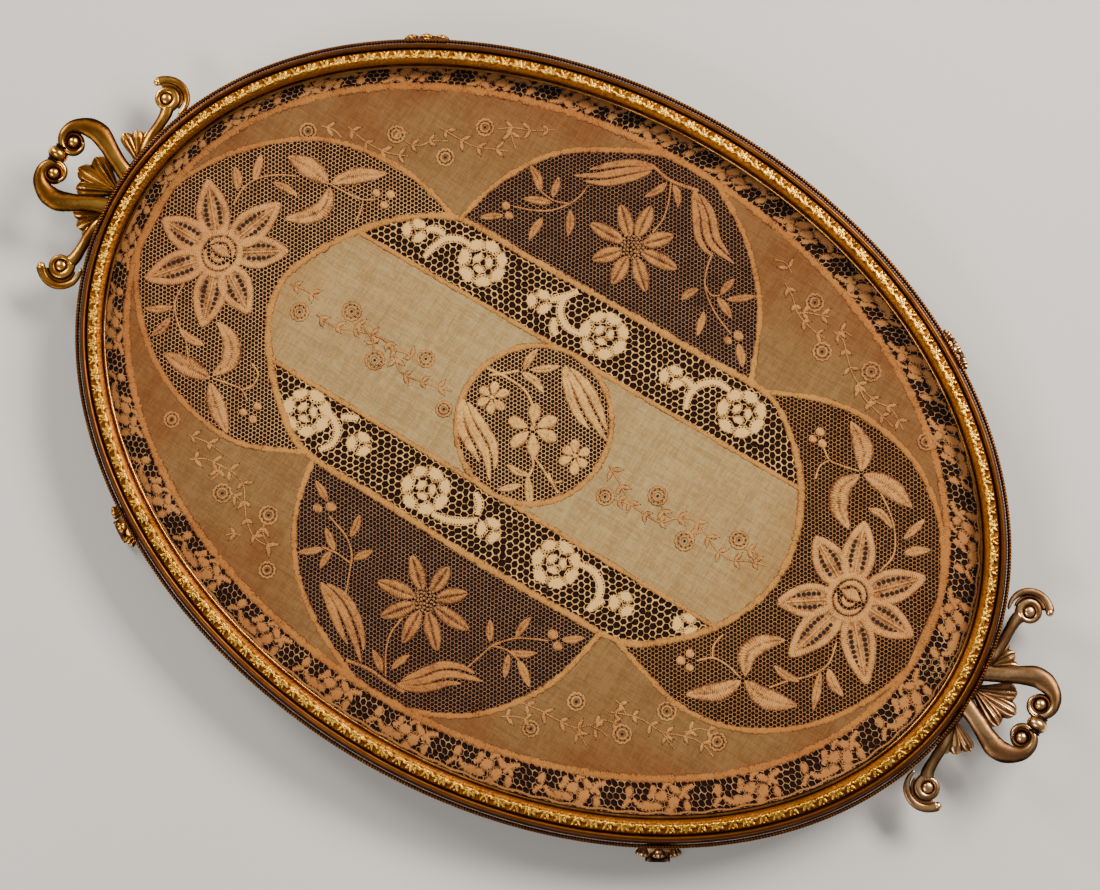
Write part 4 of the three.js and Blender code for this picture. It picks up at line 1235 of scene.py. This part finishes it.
def cloth_lobe(surface, x, y, radius, facing, level, seed, bend=None):
    """A round of clothwork with a worn edge, painted shade towards its rim, and an arc of pinholes on the
    side it faces.
    """
    turn = np.linspace(0, 2 * math.pi, 29)[:-1]
    rings = np.array([0.0, 0.3, 0.5, 0.64, 0.86, 1.0])
    ripple = 1 + 0.06 * np.sin(5 * turn + seed) + 0.05 * np.sin(9 * turn + 2 * seed)
    out = rings[:, None] * radius * ripple[None, :]
    near, wide = out * np.cos(turn) / lobe_stretch, out * np.sin(turn) * lobe_stretch
    flat = np.stack([x + near * math.cos(facing) - wide * math.sin(facing),
                     y + near * math.sin(facing) + wide * math.cos(facing)], -1)
    if bend:
        flat = bend(flat)
    tall = level - 0.1 * rings[:, None] ** 4 + 0 * turn[None, :]
    keep = np.ones((len(rings) - 1, len(turn)), bool)
    away = np.abs((turn + math.pi) % (2 * math.pi) - math.pi)
    every_other = np.arange(len(turn)) % 2 == 0
    keep[3, (away < 1.4) & every_other] = False
    keep[4, (away >= 1.4) & every_other] = False
    # Painted shade: the lobe is painted darker towards its edge.
    rub_and_shade = 1 - 0.7 * rings[:, None] ** 4 + 0.1 * np.sin(3 * turn + seed)[None, :]
    points = np.concatenate([flat, tall[..., None]], -1)
    surface.grid(points[:, ::-1], rub_and_shade, ring_columns=True, keep=keep[:, ::-1])


def cloth_scroll(surface, knots, half, bend=None):
    """A curved tape of clothwork with a row of pinholes inside each edge."""
    path = curve_through(knots, 0.55)
    along = np.gradient(path, axis=0)
    along /= np.linalg.norm(along, axis=1, keepdims=True)
    left = np.stack([-along[:, 1], along[:, 0]], -1)
    t = np.linspace(0, 1, len(path))
    reach = half * np.clip(np.sin(math.pi * (0.12 + 0.76 * t)), 0, 1) ** 0.5
    across = np.array([1, 0.82, 0.52, 0, -0.52, -0.82, -1.0])
    flat = path[:, None, :] + left[:, None, :] * (across * reach[:, None])[..., None]
    if bend:
        flat = bend(flat)
    tall = cloth_level - 0.1 * np.abs(across[None, :]) ** 4 + 0 * path[:, :1]
    keep = np.ones((len(path) - 1, len(across) - 1), bool)
    keep[1:-1:2, 1] = False
    keep[2:-1:2, 4] = False
    # Painted shade: the tape is painted darker towards both edges.
    rub_and_shade = 1 - 0.6 * np.abs(across[None, :]) ** 3 + 0 * path[:, :1]
    surface.grid(np.concatenate([flat, tall[..., None]], -1), rub_and_shade, keep=keep)


def cloth_flower(surface, x, y, petals):
    """Petals of clothwork round an eye, each with its pinholes turned to the eye."""
    for k, (dx, dy, radius) in enumerate(petals):
        cloth_lobe(surface, x + dx, y + dy, radius, math.atan2(-dy, -dx),
                   cloth_level + lobe_lap * (k % 3), k + x)


big_petals = [
    (-6.8, -1.6, 3.3), (-5.4, 4.6, 3.0), (0.2, 7.0, 3.2), (5.8, 4.8, 3.0), (7.4, -0.9, 3.2), (4, -6, 3.1),
    (-2.6, -6.8, 3.1), (-2.1, 0.8, 2.1), (2.3, 1.4, 2.0), (0.4, -2.6, 2.0),
]
small_petals = [(-2.8, -1.2, 2.8), (2.6, -1.4, 2.7), (-0.2, 2.8, 2.7)]
insertion_work = {
    "back": {
        "flowers": [(0.5, 46), (61, 47), (-54, 46)],
        "buds": [(-27, 44.5), (31.5, 45.5), (-82.5, 43.5)],
        "scrolls": [
            [[-16.5, 55.5], [-19.5, 51], [-18.5, 45.5], [-13.5, 41.5], [-7, 41.5]],
            [[-19, 42], [-17.5, 38.5], [-15, 36.5]],
            [[53, 52.5], [47, 52.5], [42.5, 49], [40.5, 43.5], [42, 37.5]],
            [[-61, 49.5], [-66, 49.5], [-71, 46.5], [-73, 42], [-74, 36.5]],
            [[-24, 47], [-21, 50], [-19, 52]],
            [[35, 47.5], [38, 47], [41, 46]], [[-79, 46], [-76, 48], [-72, 48]]]},
    "front": {
        "flowers": [(30, -38.5), (-27, -40), (-81.5, -38)],
        "buds": [(59.5, -38.5), (2, -40.5), (-57.5, -38), (84, -33)],
        "scrolls": [
            [[38, -34], [43.5, -33.5], [48.5, -36.5], [50.5, -41.5], [49.5, -47.5]],
            [[53, -41], [51, -44], [50, -47]],
            [[-20, -46.5], [-14, -45.5], [-8.5, -43], [-4, -39.5]], [[-10, -31], [-6.5, -34], [-5, -38]],
            [[-78, -33.5], [-72, -34.5], [-67.5, -38], [-66.5, -43], [-69.5, -48]],
            [[-69, -33], [-66, -31], [-63, -30]]]},
}
for side, sign in (("back", 1), ("front", -1)):
    ground = Surface()

    def in_strip(points):
        return in_field(points) & ~in_band(points) & ~in_medallion(points) & (sign * points[..., 1] > 0)

    knot_net(ground, in_strip, insertion_box, mesh_pitch, 0.17, 0.2, lace_bottom, 0.7, jitter=0.14)
    strip = ground.piece(
        f"insertion_{side}_ground", insertion_cotton, "cream_lace", [f"lace_insertion_{side}"])
    work = Surface()
    for x, y in insertion_work[side]["flowers"]:
        cloth_flower(work, x, y, big_petals)
    for x, y in insertion_work[side]["buds"]:
        cloth_flower(work, x, y, small_petals)
    for knots in insertion_work[side]["scrolls"]:
        cloth_scroll(work, knots, 1.8)
    lay_cloth(strip,
              [work.piece(f"insertion_{side}_clothwork", insertion_cotton, "cream_lace")])

# ---- bobbin-lace edging ----
# The same sort of lace, browner, sewn round the whole cloth and running out under the lip of the
# rim. Its pattern repeats 28 times: a bud in open meshes, then a bank of leaves and a scroll.
edging_cotton = thread_finish(
    "edging_cotton", paint(190, 132, 74), paint(100, 62, 34), paint(174, 110, 56), weave=0.4, patchy=0.9
)
mesh_cotton = thread_finish("mesh_cotton", paint(212, 172, 122), paint(108, 74, 48), paint(180, 128, 80))
edging_repeats = 28
edging_width = 11.5
inner_walk = np.linspace(0, 2 * math.pi, 3601)
inner_way = np.stack([edging_inner[0] * np.cos(inner_walk), edging_inner[1] * np.sin(inner_walk)], -1)
inner_run = np.concatenate([[0], np.cumsum(np.linalg.norm(np.diff(inner_way, axis=0), axis=1))])
edging_length = inner_run[-1]
edging_repeat = edging_length / edging_repeats


def round_edging(points):
    """Bends a straight strip, (run, distance out from the seam), round the cloth."""
    turn = np.interp(points[..., 0] % edging_length, inner_run, inner_walk)
    spoke = np.stack([np.cos(turn), np.sin(turn)], -1)
    inner = np.array(edging_centre) + spoke * np.array(edging_inner)
    outer = np.array(cloth_centre) + spoke * np.array(cloth_outer)
    return inner + (outer - inner) * points[..., 1:2] / edging_width


edging_ground = Surface()
edging_pitch = edging_length / 380
knot_net(edging_ground, lambda p: (p[..., 1] > 0) & (p[..., 1] < edging_width),
         ((0, 0), (edging_length, edging_width)),
         edging_pitch, 0.11, 0.2, lace_bottom, 0.5, jitter=0.12)
edging_ground.points = [
    np.concatenate([round_edging(block[:, :2]), block[:, 2:]], 1) for block in edging_ground.points
]
# Bending the strip round the oval mirrors it, so its faces are turned back outward.
edging_ground.faces = [block[:, ::-1] for block in edging_ground.faces]
edging_sheet = edging_ground.piece("edging_ground", mesh_cotton, "edging_lace", ["lace_edging"])
unit_lobes = [
    (4.5, 4.6, 2.5, 0.5), (10.2, 8.3, 2.2, -1.6), (13.4, 8.6, 2.4, -1.6), (16.0, 5.6, 3.2, 1.2),
    (19.6, 7.4, 3.4, 3.9),
    (21.6, 3.6, 2.6, 2.2), (17.6, 10.2, 2.2, -1.6), (24.2, 8.8, 2.4, 3.4),
    (13.4, 3.2, 1.7, 0.6), (25.0, 5.6, 1.7, 2.6),
]
unit_scrolls = [
    ([[5.4, 6.8], [7.2, 8.6], [10.5, 9.2], [14, 8.4]], 1.3), ([[11, 6.2], [13, 4.6], [14.6, 2.6]], 1.1),
    ([[22.6, 6.2], [25, 3.6], [28.6, 2.4]], 1.1), ([[1.2, 9.8], [2.8, 8.0], [4.6, 7.0]], 0.9),
    ([[17.2, 3.4], [18.6, 1.8], [20.8, 1.4]], 0.9),
]
edging_work = Surface()
for k in range(edging_repeats):
    start = k * edging_repeat
    for n, (run, out, radius, facing) in enumerate(unit_lobes):
        cloth_lobe(edging_work, start + run, out, 0.75 * radius, facing,
                   cloth_level + lobe_lap * (n % 3), n + k, round_edging)
    for knots, half in unit_scrolls:
        moved = [[start + run, out] for run, out in knots]
        cloth_scroll(edging_work, moved, half, round_edging)
heading_run = np.arange(0, edging_length, 0.8)
heading = np.stack([heading_run, np.full(len(heading_run), edging_width - 0.6)], -1)
heading[:, 1] += 0.25 * np.cos(2 * math.pi * heading[:, 0] / (edging_length / 90))
cloth_scroll(edging_work, heading, 0.5, round_edging)
edging_work.faces = [block[:, ::-1] for block in edging_work.faces]
edging_cloth = edging_work.piece("edging_clothwork", edging_cotton, "edging_lace")
lay_cloth(edging_sheet, [edging_cloth], size=(edging_length * MM, edging_width * MM))

# ---- glass pane ----
# A clear float glass pane that holds the lace flat. It is bedded in the rabbet under the lip.
pane = Finish("clear_glass", {"Roughness": 0.02, "IOR": 1.5, "Base Color": paint(246, 250, 248)})
clear = pane.tree.nodes.new("ShaderNodeBsdfTransparent")
clear.inputs["Color"].default_value = (0.985, 0.99, 0.985, 1.0)
glint = pane.tree.nodes.new("ShaderNodeMixShader")
# Only the faces seen from outside the pane glint.
from_outside = 1 - pane.node("NewGeometry", output="Backfacing")
pane.feed(glint.inputs[0], from_outside * pane.node("Fresnel", (), {"IOR": 1.3}))
pane.tree.links.new(clear.outputs[0], glint.inputs[1])
pane.shader.inputs["Metallic"].default_value = 1.0
pane.tree.links.new(pane.shader.outputs[0], glint.inputs[2])
pane.tree.links.new(glint.outputs[0], pane.tree.nodes["Material Output"].inputs["Surface"])
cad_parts["glass_pane"].data.materials.clear()
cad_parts["glass_pane"].data.materials.append(pane.material)

# ---- feet ----
# Four cast scroll feet, each screwed up into the ring through its lug. The leg is an S-strap that
# ends in a curled toe, and three leaf lobes show beyond the rim above it.
foot_angle = math.radians(51.6)
foot_slot = "worn_brass"
old_brass = lacquered_brass("old_brass", paint(255, 190, 86), paint(150, 94, 36), paint(36, 18, 8), 0.24, 1.0)
rosy_brass = lacquered_brass(
    "rosy_brass", paint(252, 202, 142), paint(144, 101, 64), paint(40, 24, 16), 0.26, 1.0)


def rounded(half, power, sides):
    """The outline of a section with rounded corners, as two lists from -half to half."""
    turn = np.linspace(0, 2 * math.pi, sides, endpoint=False)
    return (half[0] * np.sign(np.cos(turn)) * np.abs(np.cos(turn)) ** power,
            half[1] * np.sign(np.sin(turn)) * np.abs(np.sin(turn)) ** power)


def bar(surface, path, axis, along, across, flutes=0, sides=24, power=0.55, wear_and_shade=1.0):
    """A solid swept along a path. Its section reaches `along` the fixed axis and `across` it."""
    path, axis = np.asarray(path, float), np.asarray(axis, float)
    count = len(path)
    t = np.linspace(0, 1, count)
    close = np.clip(np.minimum(t, 1 - t) * count / 2.0, 0.02, 1) ** 0.5
    along = np.broadcast_to(along, count) * close
    across = np.broadcast_to(across, count) * close
    tangent = np.gradient(path, axis=0)
    tangent /= np.linalg.norm(tangent, axis=1, keepdims=True)
    side = np.cross(tangent, axis)
    side /= np.linalg.norm(side, axis=1, keepdims=True)
    high, wide = rounded((1.0, 1.0), power, sides)
    if flutes:
        high = high * (1 - 0.12 * (0.5 - 0.5 * np.cos(flutes * math.pi * (wide + 1))))
    points = (path[:, None, :] + axis * (along[:, None] * high[None, :])[..., None]
              + side[:, None, :] * (across[:, None] * wide[None, :])[..., None])
    handled = 0.8 + 0.2 * np.sin(9 * t[:, None] + 2 * wide[None, :])
    # Wear and painted light: bright along the crest as wear and as a painted highlight, with darker patina
    # and painted shade on the sides.
    rub_and_shade = wear_and_shade * np.clip(0.1 + 0.9 * np.abs(high) ** 3, 0, 1)[None, :] * handled
    surface.grid(points, rub_and_shade, ring_columns=True)


def boss(surface, centre, radii, heights, rub_and_shade_values):
    """A turned shape standing on a point: rings of the given radius and height."""
    turn = np.linspace(2 * math.pi, 0, 40, endpoint=False)
    radii, heights = np.asarray(radii, float), np.asarray(heights, float)
    points = np.stack(np.broadcast_arrays(
        centre[0] + radii[:, None] * np.cos(turn), centre[1] + radii[:, None] * np.sin(turn),
        centre[2] + heights[:, None]), -1)
    surface.grid(points, np.asarray(rub_and_shade_values)[:, None] * np.ones((1, 40)), ring_columns=True)


def gadroon(surface, root, degrees, length, width, low, high, curl, ridges=2):
    """One fluted leaf lobe: narrow at its root, full near its pointed tip, grooved along."""
    turn = math.radians(degrees)
    way, side = np.array([math.cos(turn), math.sin(turn)]), np.array([-math.sin(turn), math.cos(turn)])
    rows, columns = 34, 21
    t = np.linspace(0, 1, rows)
    half = width / 2 * np.interp(
        t, [0, 0.3, 0.62, 0.82, 0.92, 0.97, 1], [0.42, 0.62, 0.92, 1.0, 0.82, 0.5, 0.05])
    u = np.linspace(1, -1, columns)
    flat = (np.array(root) + way * (t[:, None, None] * length)
            + side * (half[:, None] * u[None, :])[..., None])
    dome = np.sqrt(np.clip(1 - u**2, 0, 1))[None, :]
    flute = 0.5 - 0.5 * np.cos(2 * math.pi * ridges * (u + 1) / 2)[None, :]
    swell = np.interp(t, [0, 0.2, 0.75, 1], [0.55, 0.7, 1.0, 0.75])[:, None]
    lift = curl * np.clip(t - 0.45, 0, 1)[:, None] ** 2
    top = low + (high - low) * swell * (0.25 + 0.75 * dome) * (0.78 + 0.22 * flute) + lift
    bottom = low + lift * 0.9 + 0 * top
    rub_and_shade = np.clip(dome * (0.45 + 0.55 * flute) * np.interp(t, [0, 0.3, 0.8], [0.3, 0.7, 1.0])[:, None], 0, 1)
    surface.grid(np.concatenate([flat, top[..., None]], -1), rub_and_shade)
    surface.grid(np.concatenate([flat, bottom[..., None]], -1)[:, ::-1], 0 * rub_and_shade)
    for edge in (0, -1):
        wall = np.stack(
            [np.concatenate([flat[:, edge], level[:, edge, None]], -1) for level in (top, bottom)], 1)
        surface.grid(wall if edge else wall[:, ::-1], 0.1)
    for edge in (0, -1):
        wall = np.stack(
            [np.concatenate([flat[edge], level[edge, :, None]], -1) for level in (top, bottom)], 1)
        surface.grid(wall[:, ::-1] if edge else wall, 0.1)


def turned(surface, angle, shift=(0.0, 0.0)):
    """Turns everything gathered in a surface about the upright axis and then moves it."""
    cosine, sine = math.cos(angle), math.sin(angle)
    turn = np.array([[cosine, sine, 0], [-sine, cosine, 0], [0, 0, 1]])
    surface.points = [block @ turn + np.array([*shift, 0.0]) for block in surface.points]
    return surface


def scroll_foot():
    foot = Surface()
    spine = curve_through([[0.7, 13.6], [0.4, 11.2], [0.5, 9.2], [1.2, 7], [1.7, 4.8], [2.5, 2.6],
                           [3.8, 1.05],
                           [5.2, 1.6], [5.6, 3.0], [4.8, 3.9], [4.1, 3.3]], 0.25)
    t = np.linspace(0, 1, len(spine))
    leg = np.stack([spine[:, 0], np.zeros(len(spine)), spine[:, 1]], -1)
    wide = np.interp(t, [0, 0.2, 0.45, 0.65, 0.85, 1], [4.6, 4.3, 3.2, 3.4, 4.4, 4.2])
    thick = np.interp(t, [0, 0.2, 0.45, 0.65, 0.8, 1], [1.8, 2.1, 1.45, 1.15, 0.8, 0.5])
    bar(foot, leg, (0, 1, 0), wide, thick, flutes=3, sides=40)
    plate = np.stack([np.linspace(-5.15, 0.6, 12), np.zeros(12), np.full(12, 10.7)], -1)
    bar(foot, plate, (0, 0, 1), 0.98, 4.45, power=0.3, wear_and_shade=0.3)
    for offset, degrees in ((-5.4, -14), (0, 0), (5.4, 14)):
        gadroon(foot, (-1.0, offset), degrees, 4.6 if offset else 5.0, 5.2, 12.6, 14.5, curl=0.6, ridges=3)
    boss(foot, (1.4, 0, 13.4), [0.01, 0.6, 1.1, 1.4, 1.5], [1.1, 1.0, 0.7, 0.2, -0.4], [1, 1, 0.8, 0.4, 0.1])
    for offset in (-4.3, 4.3):
        curl_turn = np.linspace(0, 4.6, 26)
        reach = 2.3 - 0.36 * curl_turn
        ring = np.stack([4.1 + reach * np.cos(curl_turn + 0.6), np.full(26, offset),
                         2.9 + reach * np.sin(curl_turn + 0.6)], -1)
        bar(foot, ring, (0, 1, 0), 0.45, 0.42, sides=12)
    return foot


for corner, sign_x, sign_y in (("back_right", 1, 1), ("back_left", -1, 1),
                               ("front_left", -1, -1), ("front_right", 1, -1)):
    place = np.array([sign_x * half_length * math.cos(foot_angle),
                      sign_y * half_width * math.sin(foot_angle)])
    normal = (sign_x * half_width * math.cos(foot_angle), sign_y * half_length * math.sin(foot_angle))
    foot = turned(scroll_foot(), math.atan2(normal[1], normal[0]), place)
    finish = rosy_brass if sign_x > 0 else old_brass
    foot.points = [np.maximum(block, [-1e3, -1e3, 0.0]) for block in foot.points]
    foot.piece(f"scroll_foot_{corner}", finish, foot_slot, [f"foot_{corner}"], sharp=50)

# ---- handles ----
# Each handle is a cast palmette with a scrolled arm to each side, two strap arms that rise and
# curl into buttoned volutes, and a small turned grip between the volutes.
loop_shift = 2.5
arm_crown = 1.65
arm_root, arm_bottom, arm_thick = half_length + 0.9, 16.6, 2.4
arm_rise = math.radians(10.7)
grip_out = 24.3
palmette_bottom = 13.6
volute_centre = (193.0, 38.4)


def button(surface, centre, radius, lift):
    """A domed button in a sunk ring, as at the eye of every volute."""
    boss(surface, centre,
         [0.01, 0.3 * radius, 0.48 * radius, 0.6 * radius, 0.66 * radius,
          0.74 * radius, 0.86 * radius, radius],
         [lift, 0.93 * lift, 0.72 * lift, 0.35 * lift, -0.5, -0.7, -0.1, 0.25],
         [1.0, 1.0, 0.9, 0.5, 0.0, 0.0, 0.45, 0.9])


def strap_arm(side):
    """One strap of the loop, from the ring out and round into its volute."""
    arm = Surface()
    centre = curve_through([[-2.9, 6.6], [0, 7.7], [6, 10.4], [11.5, 13.4], [16.5, 15.4], [21.4, 14.8],
                            [25.7, 12.0],
                            [27.2, 8.0], [25.9, 4.3], [22.6, 2.7], [19.6, 3.8], [18.4, 6.6],
                            [19.4, 9.2]], 0.35)
    t = np.linspace(0, 1, len(centre))
    half = np.interp(t, [0, 0.13, 0.26, 0.38, 0.47, 0.56, 0.65, 0.75, 0.87, 1],
                     [3.5, 3.2, 3.4, 4.1, 3.9, 2.9, 2.0, 1.45, 1.15, 0.7])
    path = np.stack([centre[:, 0], side * centre[:, 1], np.full(len(centre), arm_crown)], -1)
    bar(arm, path, (0, 0, 1), arm_crown, half, power=1.0, sides=32)
    boss(arm, (22.4, side * 7.1, 0), [0.01, 4.2, 4.2, 0.01], [1.1, 1.0, 0.1, 0.1], [0.1, 0.1, 0.2, 0.2])
    button(arm, (22.4, side * 7.1, 2.0), 3.3, 1.9)
    cosine, sine = math.cos(arm_rise), math.sin(arm_rise)
    rise = np.array([[cosine, 0, sine], [0, 1, 0], [-sine, 0, cosine]])
    arm.points = [block @ rise + np.array([arm_root, loop_shift, arm_bottom]) for block in arm.points]
    return arm


def palmette():
    """The spread of leaves and side scrolls that lies under the loop."""
    casting = Surface()
    for angle, low, high, inset, reach in ((0.15, 9.7, 18.0, -0.3, 0.9), (0.15, 9.7, 11.6, 2.3, 2.7)):
        turn = np.linspace(-angle, angle, 24)
        wall = np.stack([(half_length - inset) * np.cos(turn), (half_width - inset) * np.sin(turn),
                         np.full(24, (low + high) / 2)], -1)
        bar(casting, wall, (0, 0, 1), (high - low) / 2, reach, power=0.3, wear_and_shade=0.25)
    for degrees, length in ((-26, 16.0), (26, 16.0), (0, 17.8)):
        gadroon(casting, (half_length, loop_shift), degrees, length, 7.4, palmette_bottom, 16.4,
                curl=2.2, ridges=3)
    for side in (1, -1):
        for degrees, length, width in ((31, 12.4, 5.2), (57, 12.2, 5.2), (80, 12.8, 4.6)):
            gadroon(casting, (189.6, side * 12), side * degrees, length, width,
                    palmette_bottom, 15.8, curl=0.6)
        arm = curve_through([[188.2, side * 13], [189.8, side * 18], [190.2, side * 23], [190.0, side * 28],
                             [190.2, side * 33.5], [191.2, side * 36]], 0.4)
        t = np.linspace(0, 1, len(arm))
        path = np.stack([arm[:, 0], arm[:, 1], np.full(len(arm), palmette_bottom + 1.5)], -1)
        bar(casting, path, (0, 0, 1), 1.5, np.interp(t, [0, 0.4, 0.7, 1], [2.3, 2.1, 2.1, 2.7]),
            power=1.0, sides=28)
        x, y = volute_centre
        whirl = np.radians(np.linspace(250, -150, 60))
        reach = np.linspace(3.9, 3.3, 60)
        ring = np.stack([x + reach * np.cos(whirl), side * (y + reach * np.sin(whirl)),
                         np.full(60, palmette_bottom + 1.3)], -1)
        bar(casting, ring, (0, 0, 1), 1.25,
            np.interp(np.linspace(0, 1, 60), [0, 0.6, 1], [1.7, 1.25, 0.7]), sides=20, power=0.7)
        button(casting, (x, side * y, palmette_bottom + 2.0), 3.4, 1.1)
        boss(casting, (x, side * y, palmette_bottom), [3.6, 3.5, 0.01], [1.2, 0.1, 0.1], [0.4, 0.2, 0.2])
        for reach, low, half, start, end in ((7.8, 1.0, 1.6, 26, 205), (5.7, 0.5, 1.0, 36, 190)):
            whirl = np.radians(np.linspace(start, end, 46))
            crest = np.stack([x + reach * np.cos(whirl), side * (y + reach * np.sin(whirl)),
                              np.full(46, palmette_bottom + low)], -1)
            crest[:, 2] += 0.7 * np.clip(np.abs(np.linspace(-1, 1, 46)) - 0.5, 0, 1)
            bar(casting, crest, (0, 0, 1), 0.85,
                half * np.interp(np.linspace(0, 1, 46), [0, 0.15, 0.7, 1], [1.25, 1, 0.8, 0.35]),
                sides=16, power=0.8, wear_and_shade=1.0 if reach > 7 else 0.4)
        boss(casting, (x + 7.9 * math.cos(math.radians(30)),
                       side * (y + 7.9 * math.sin(math.radians(30))), palmette_bottom + 0.8),
             [0.01, 0.8, 1.4, 1.6, 1.3], [1.5, 1.3, 0.8, 0.2, -0.5], [1, 1, 0.8, 0.4, 0.1])
    return casting


def turned_grip():
    grip = Surface()
    knots = [[0.01, -3.6], [2.3, -3.6], [2.8, -3.2], [2.5, -2.7], [3.1, -1.9], [3.8, -0.9], [4.0, 0],
             [3.8, 0.9],
             [3.1, 1.9], [2.5, 2.7], [2.8, 3.2], [2.3, 3.6], [0.01, 3.6]]
    profile = curve_through(knots, 0.16)
    turn = np.linspace(0, 2 * math.pi, 48, endpoint=False)
    radius, along = np.maximum(profile[:, :1], 0.01), profile[:, 1:]
    height = arm_bottom + grip_out * math.sin(arm_rise) + arm_thick / 2
    points = np.stack(np.broadcast_arrays(
        arm_root + grip_out + radius * np.cos(turn), loop_shift + along, height - radius * np.sin(turn)), -1)
    rub_and_shade = np.clip((profile[:, :1] - 2.9) / 1.1, 0.0, 1.0) * np.ones((1, 48))
    grip.grid(points, rub_and_shade, ring_columns=True)
    return grip


for end, angle, finish in (("right", 0.0, rosy_brass), ("left", math.pi, old_brass)):
    casting = turned(palmette(), angle)
    casting.piece(f"palmette_{end}", finish, "worn_brass", [f"handle_palmette_{end}"], sharp=50)
    for k, side in ((1, 1), (2, -1)):
        arm = turned(strap_arm(side), angle)
        arm.piece(f"strap_arm_{end}_{k}", finish, "worn_brass", [f"handle_arm_{end}_{k}"], sharp=50)
    turned(turned_grip(), angle).piece(
        f"turned_grip_{end}", finish, "worn_brass", [f"handle_grip_{end}"], sharp=50)
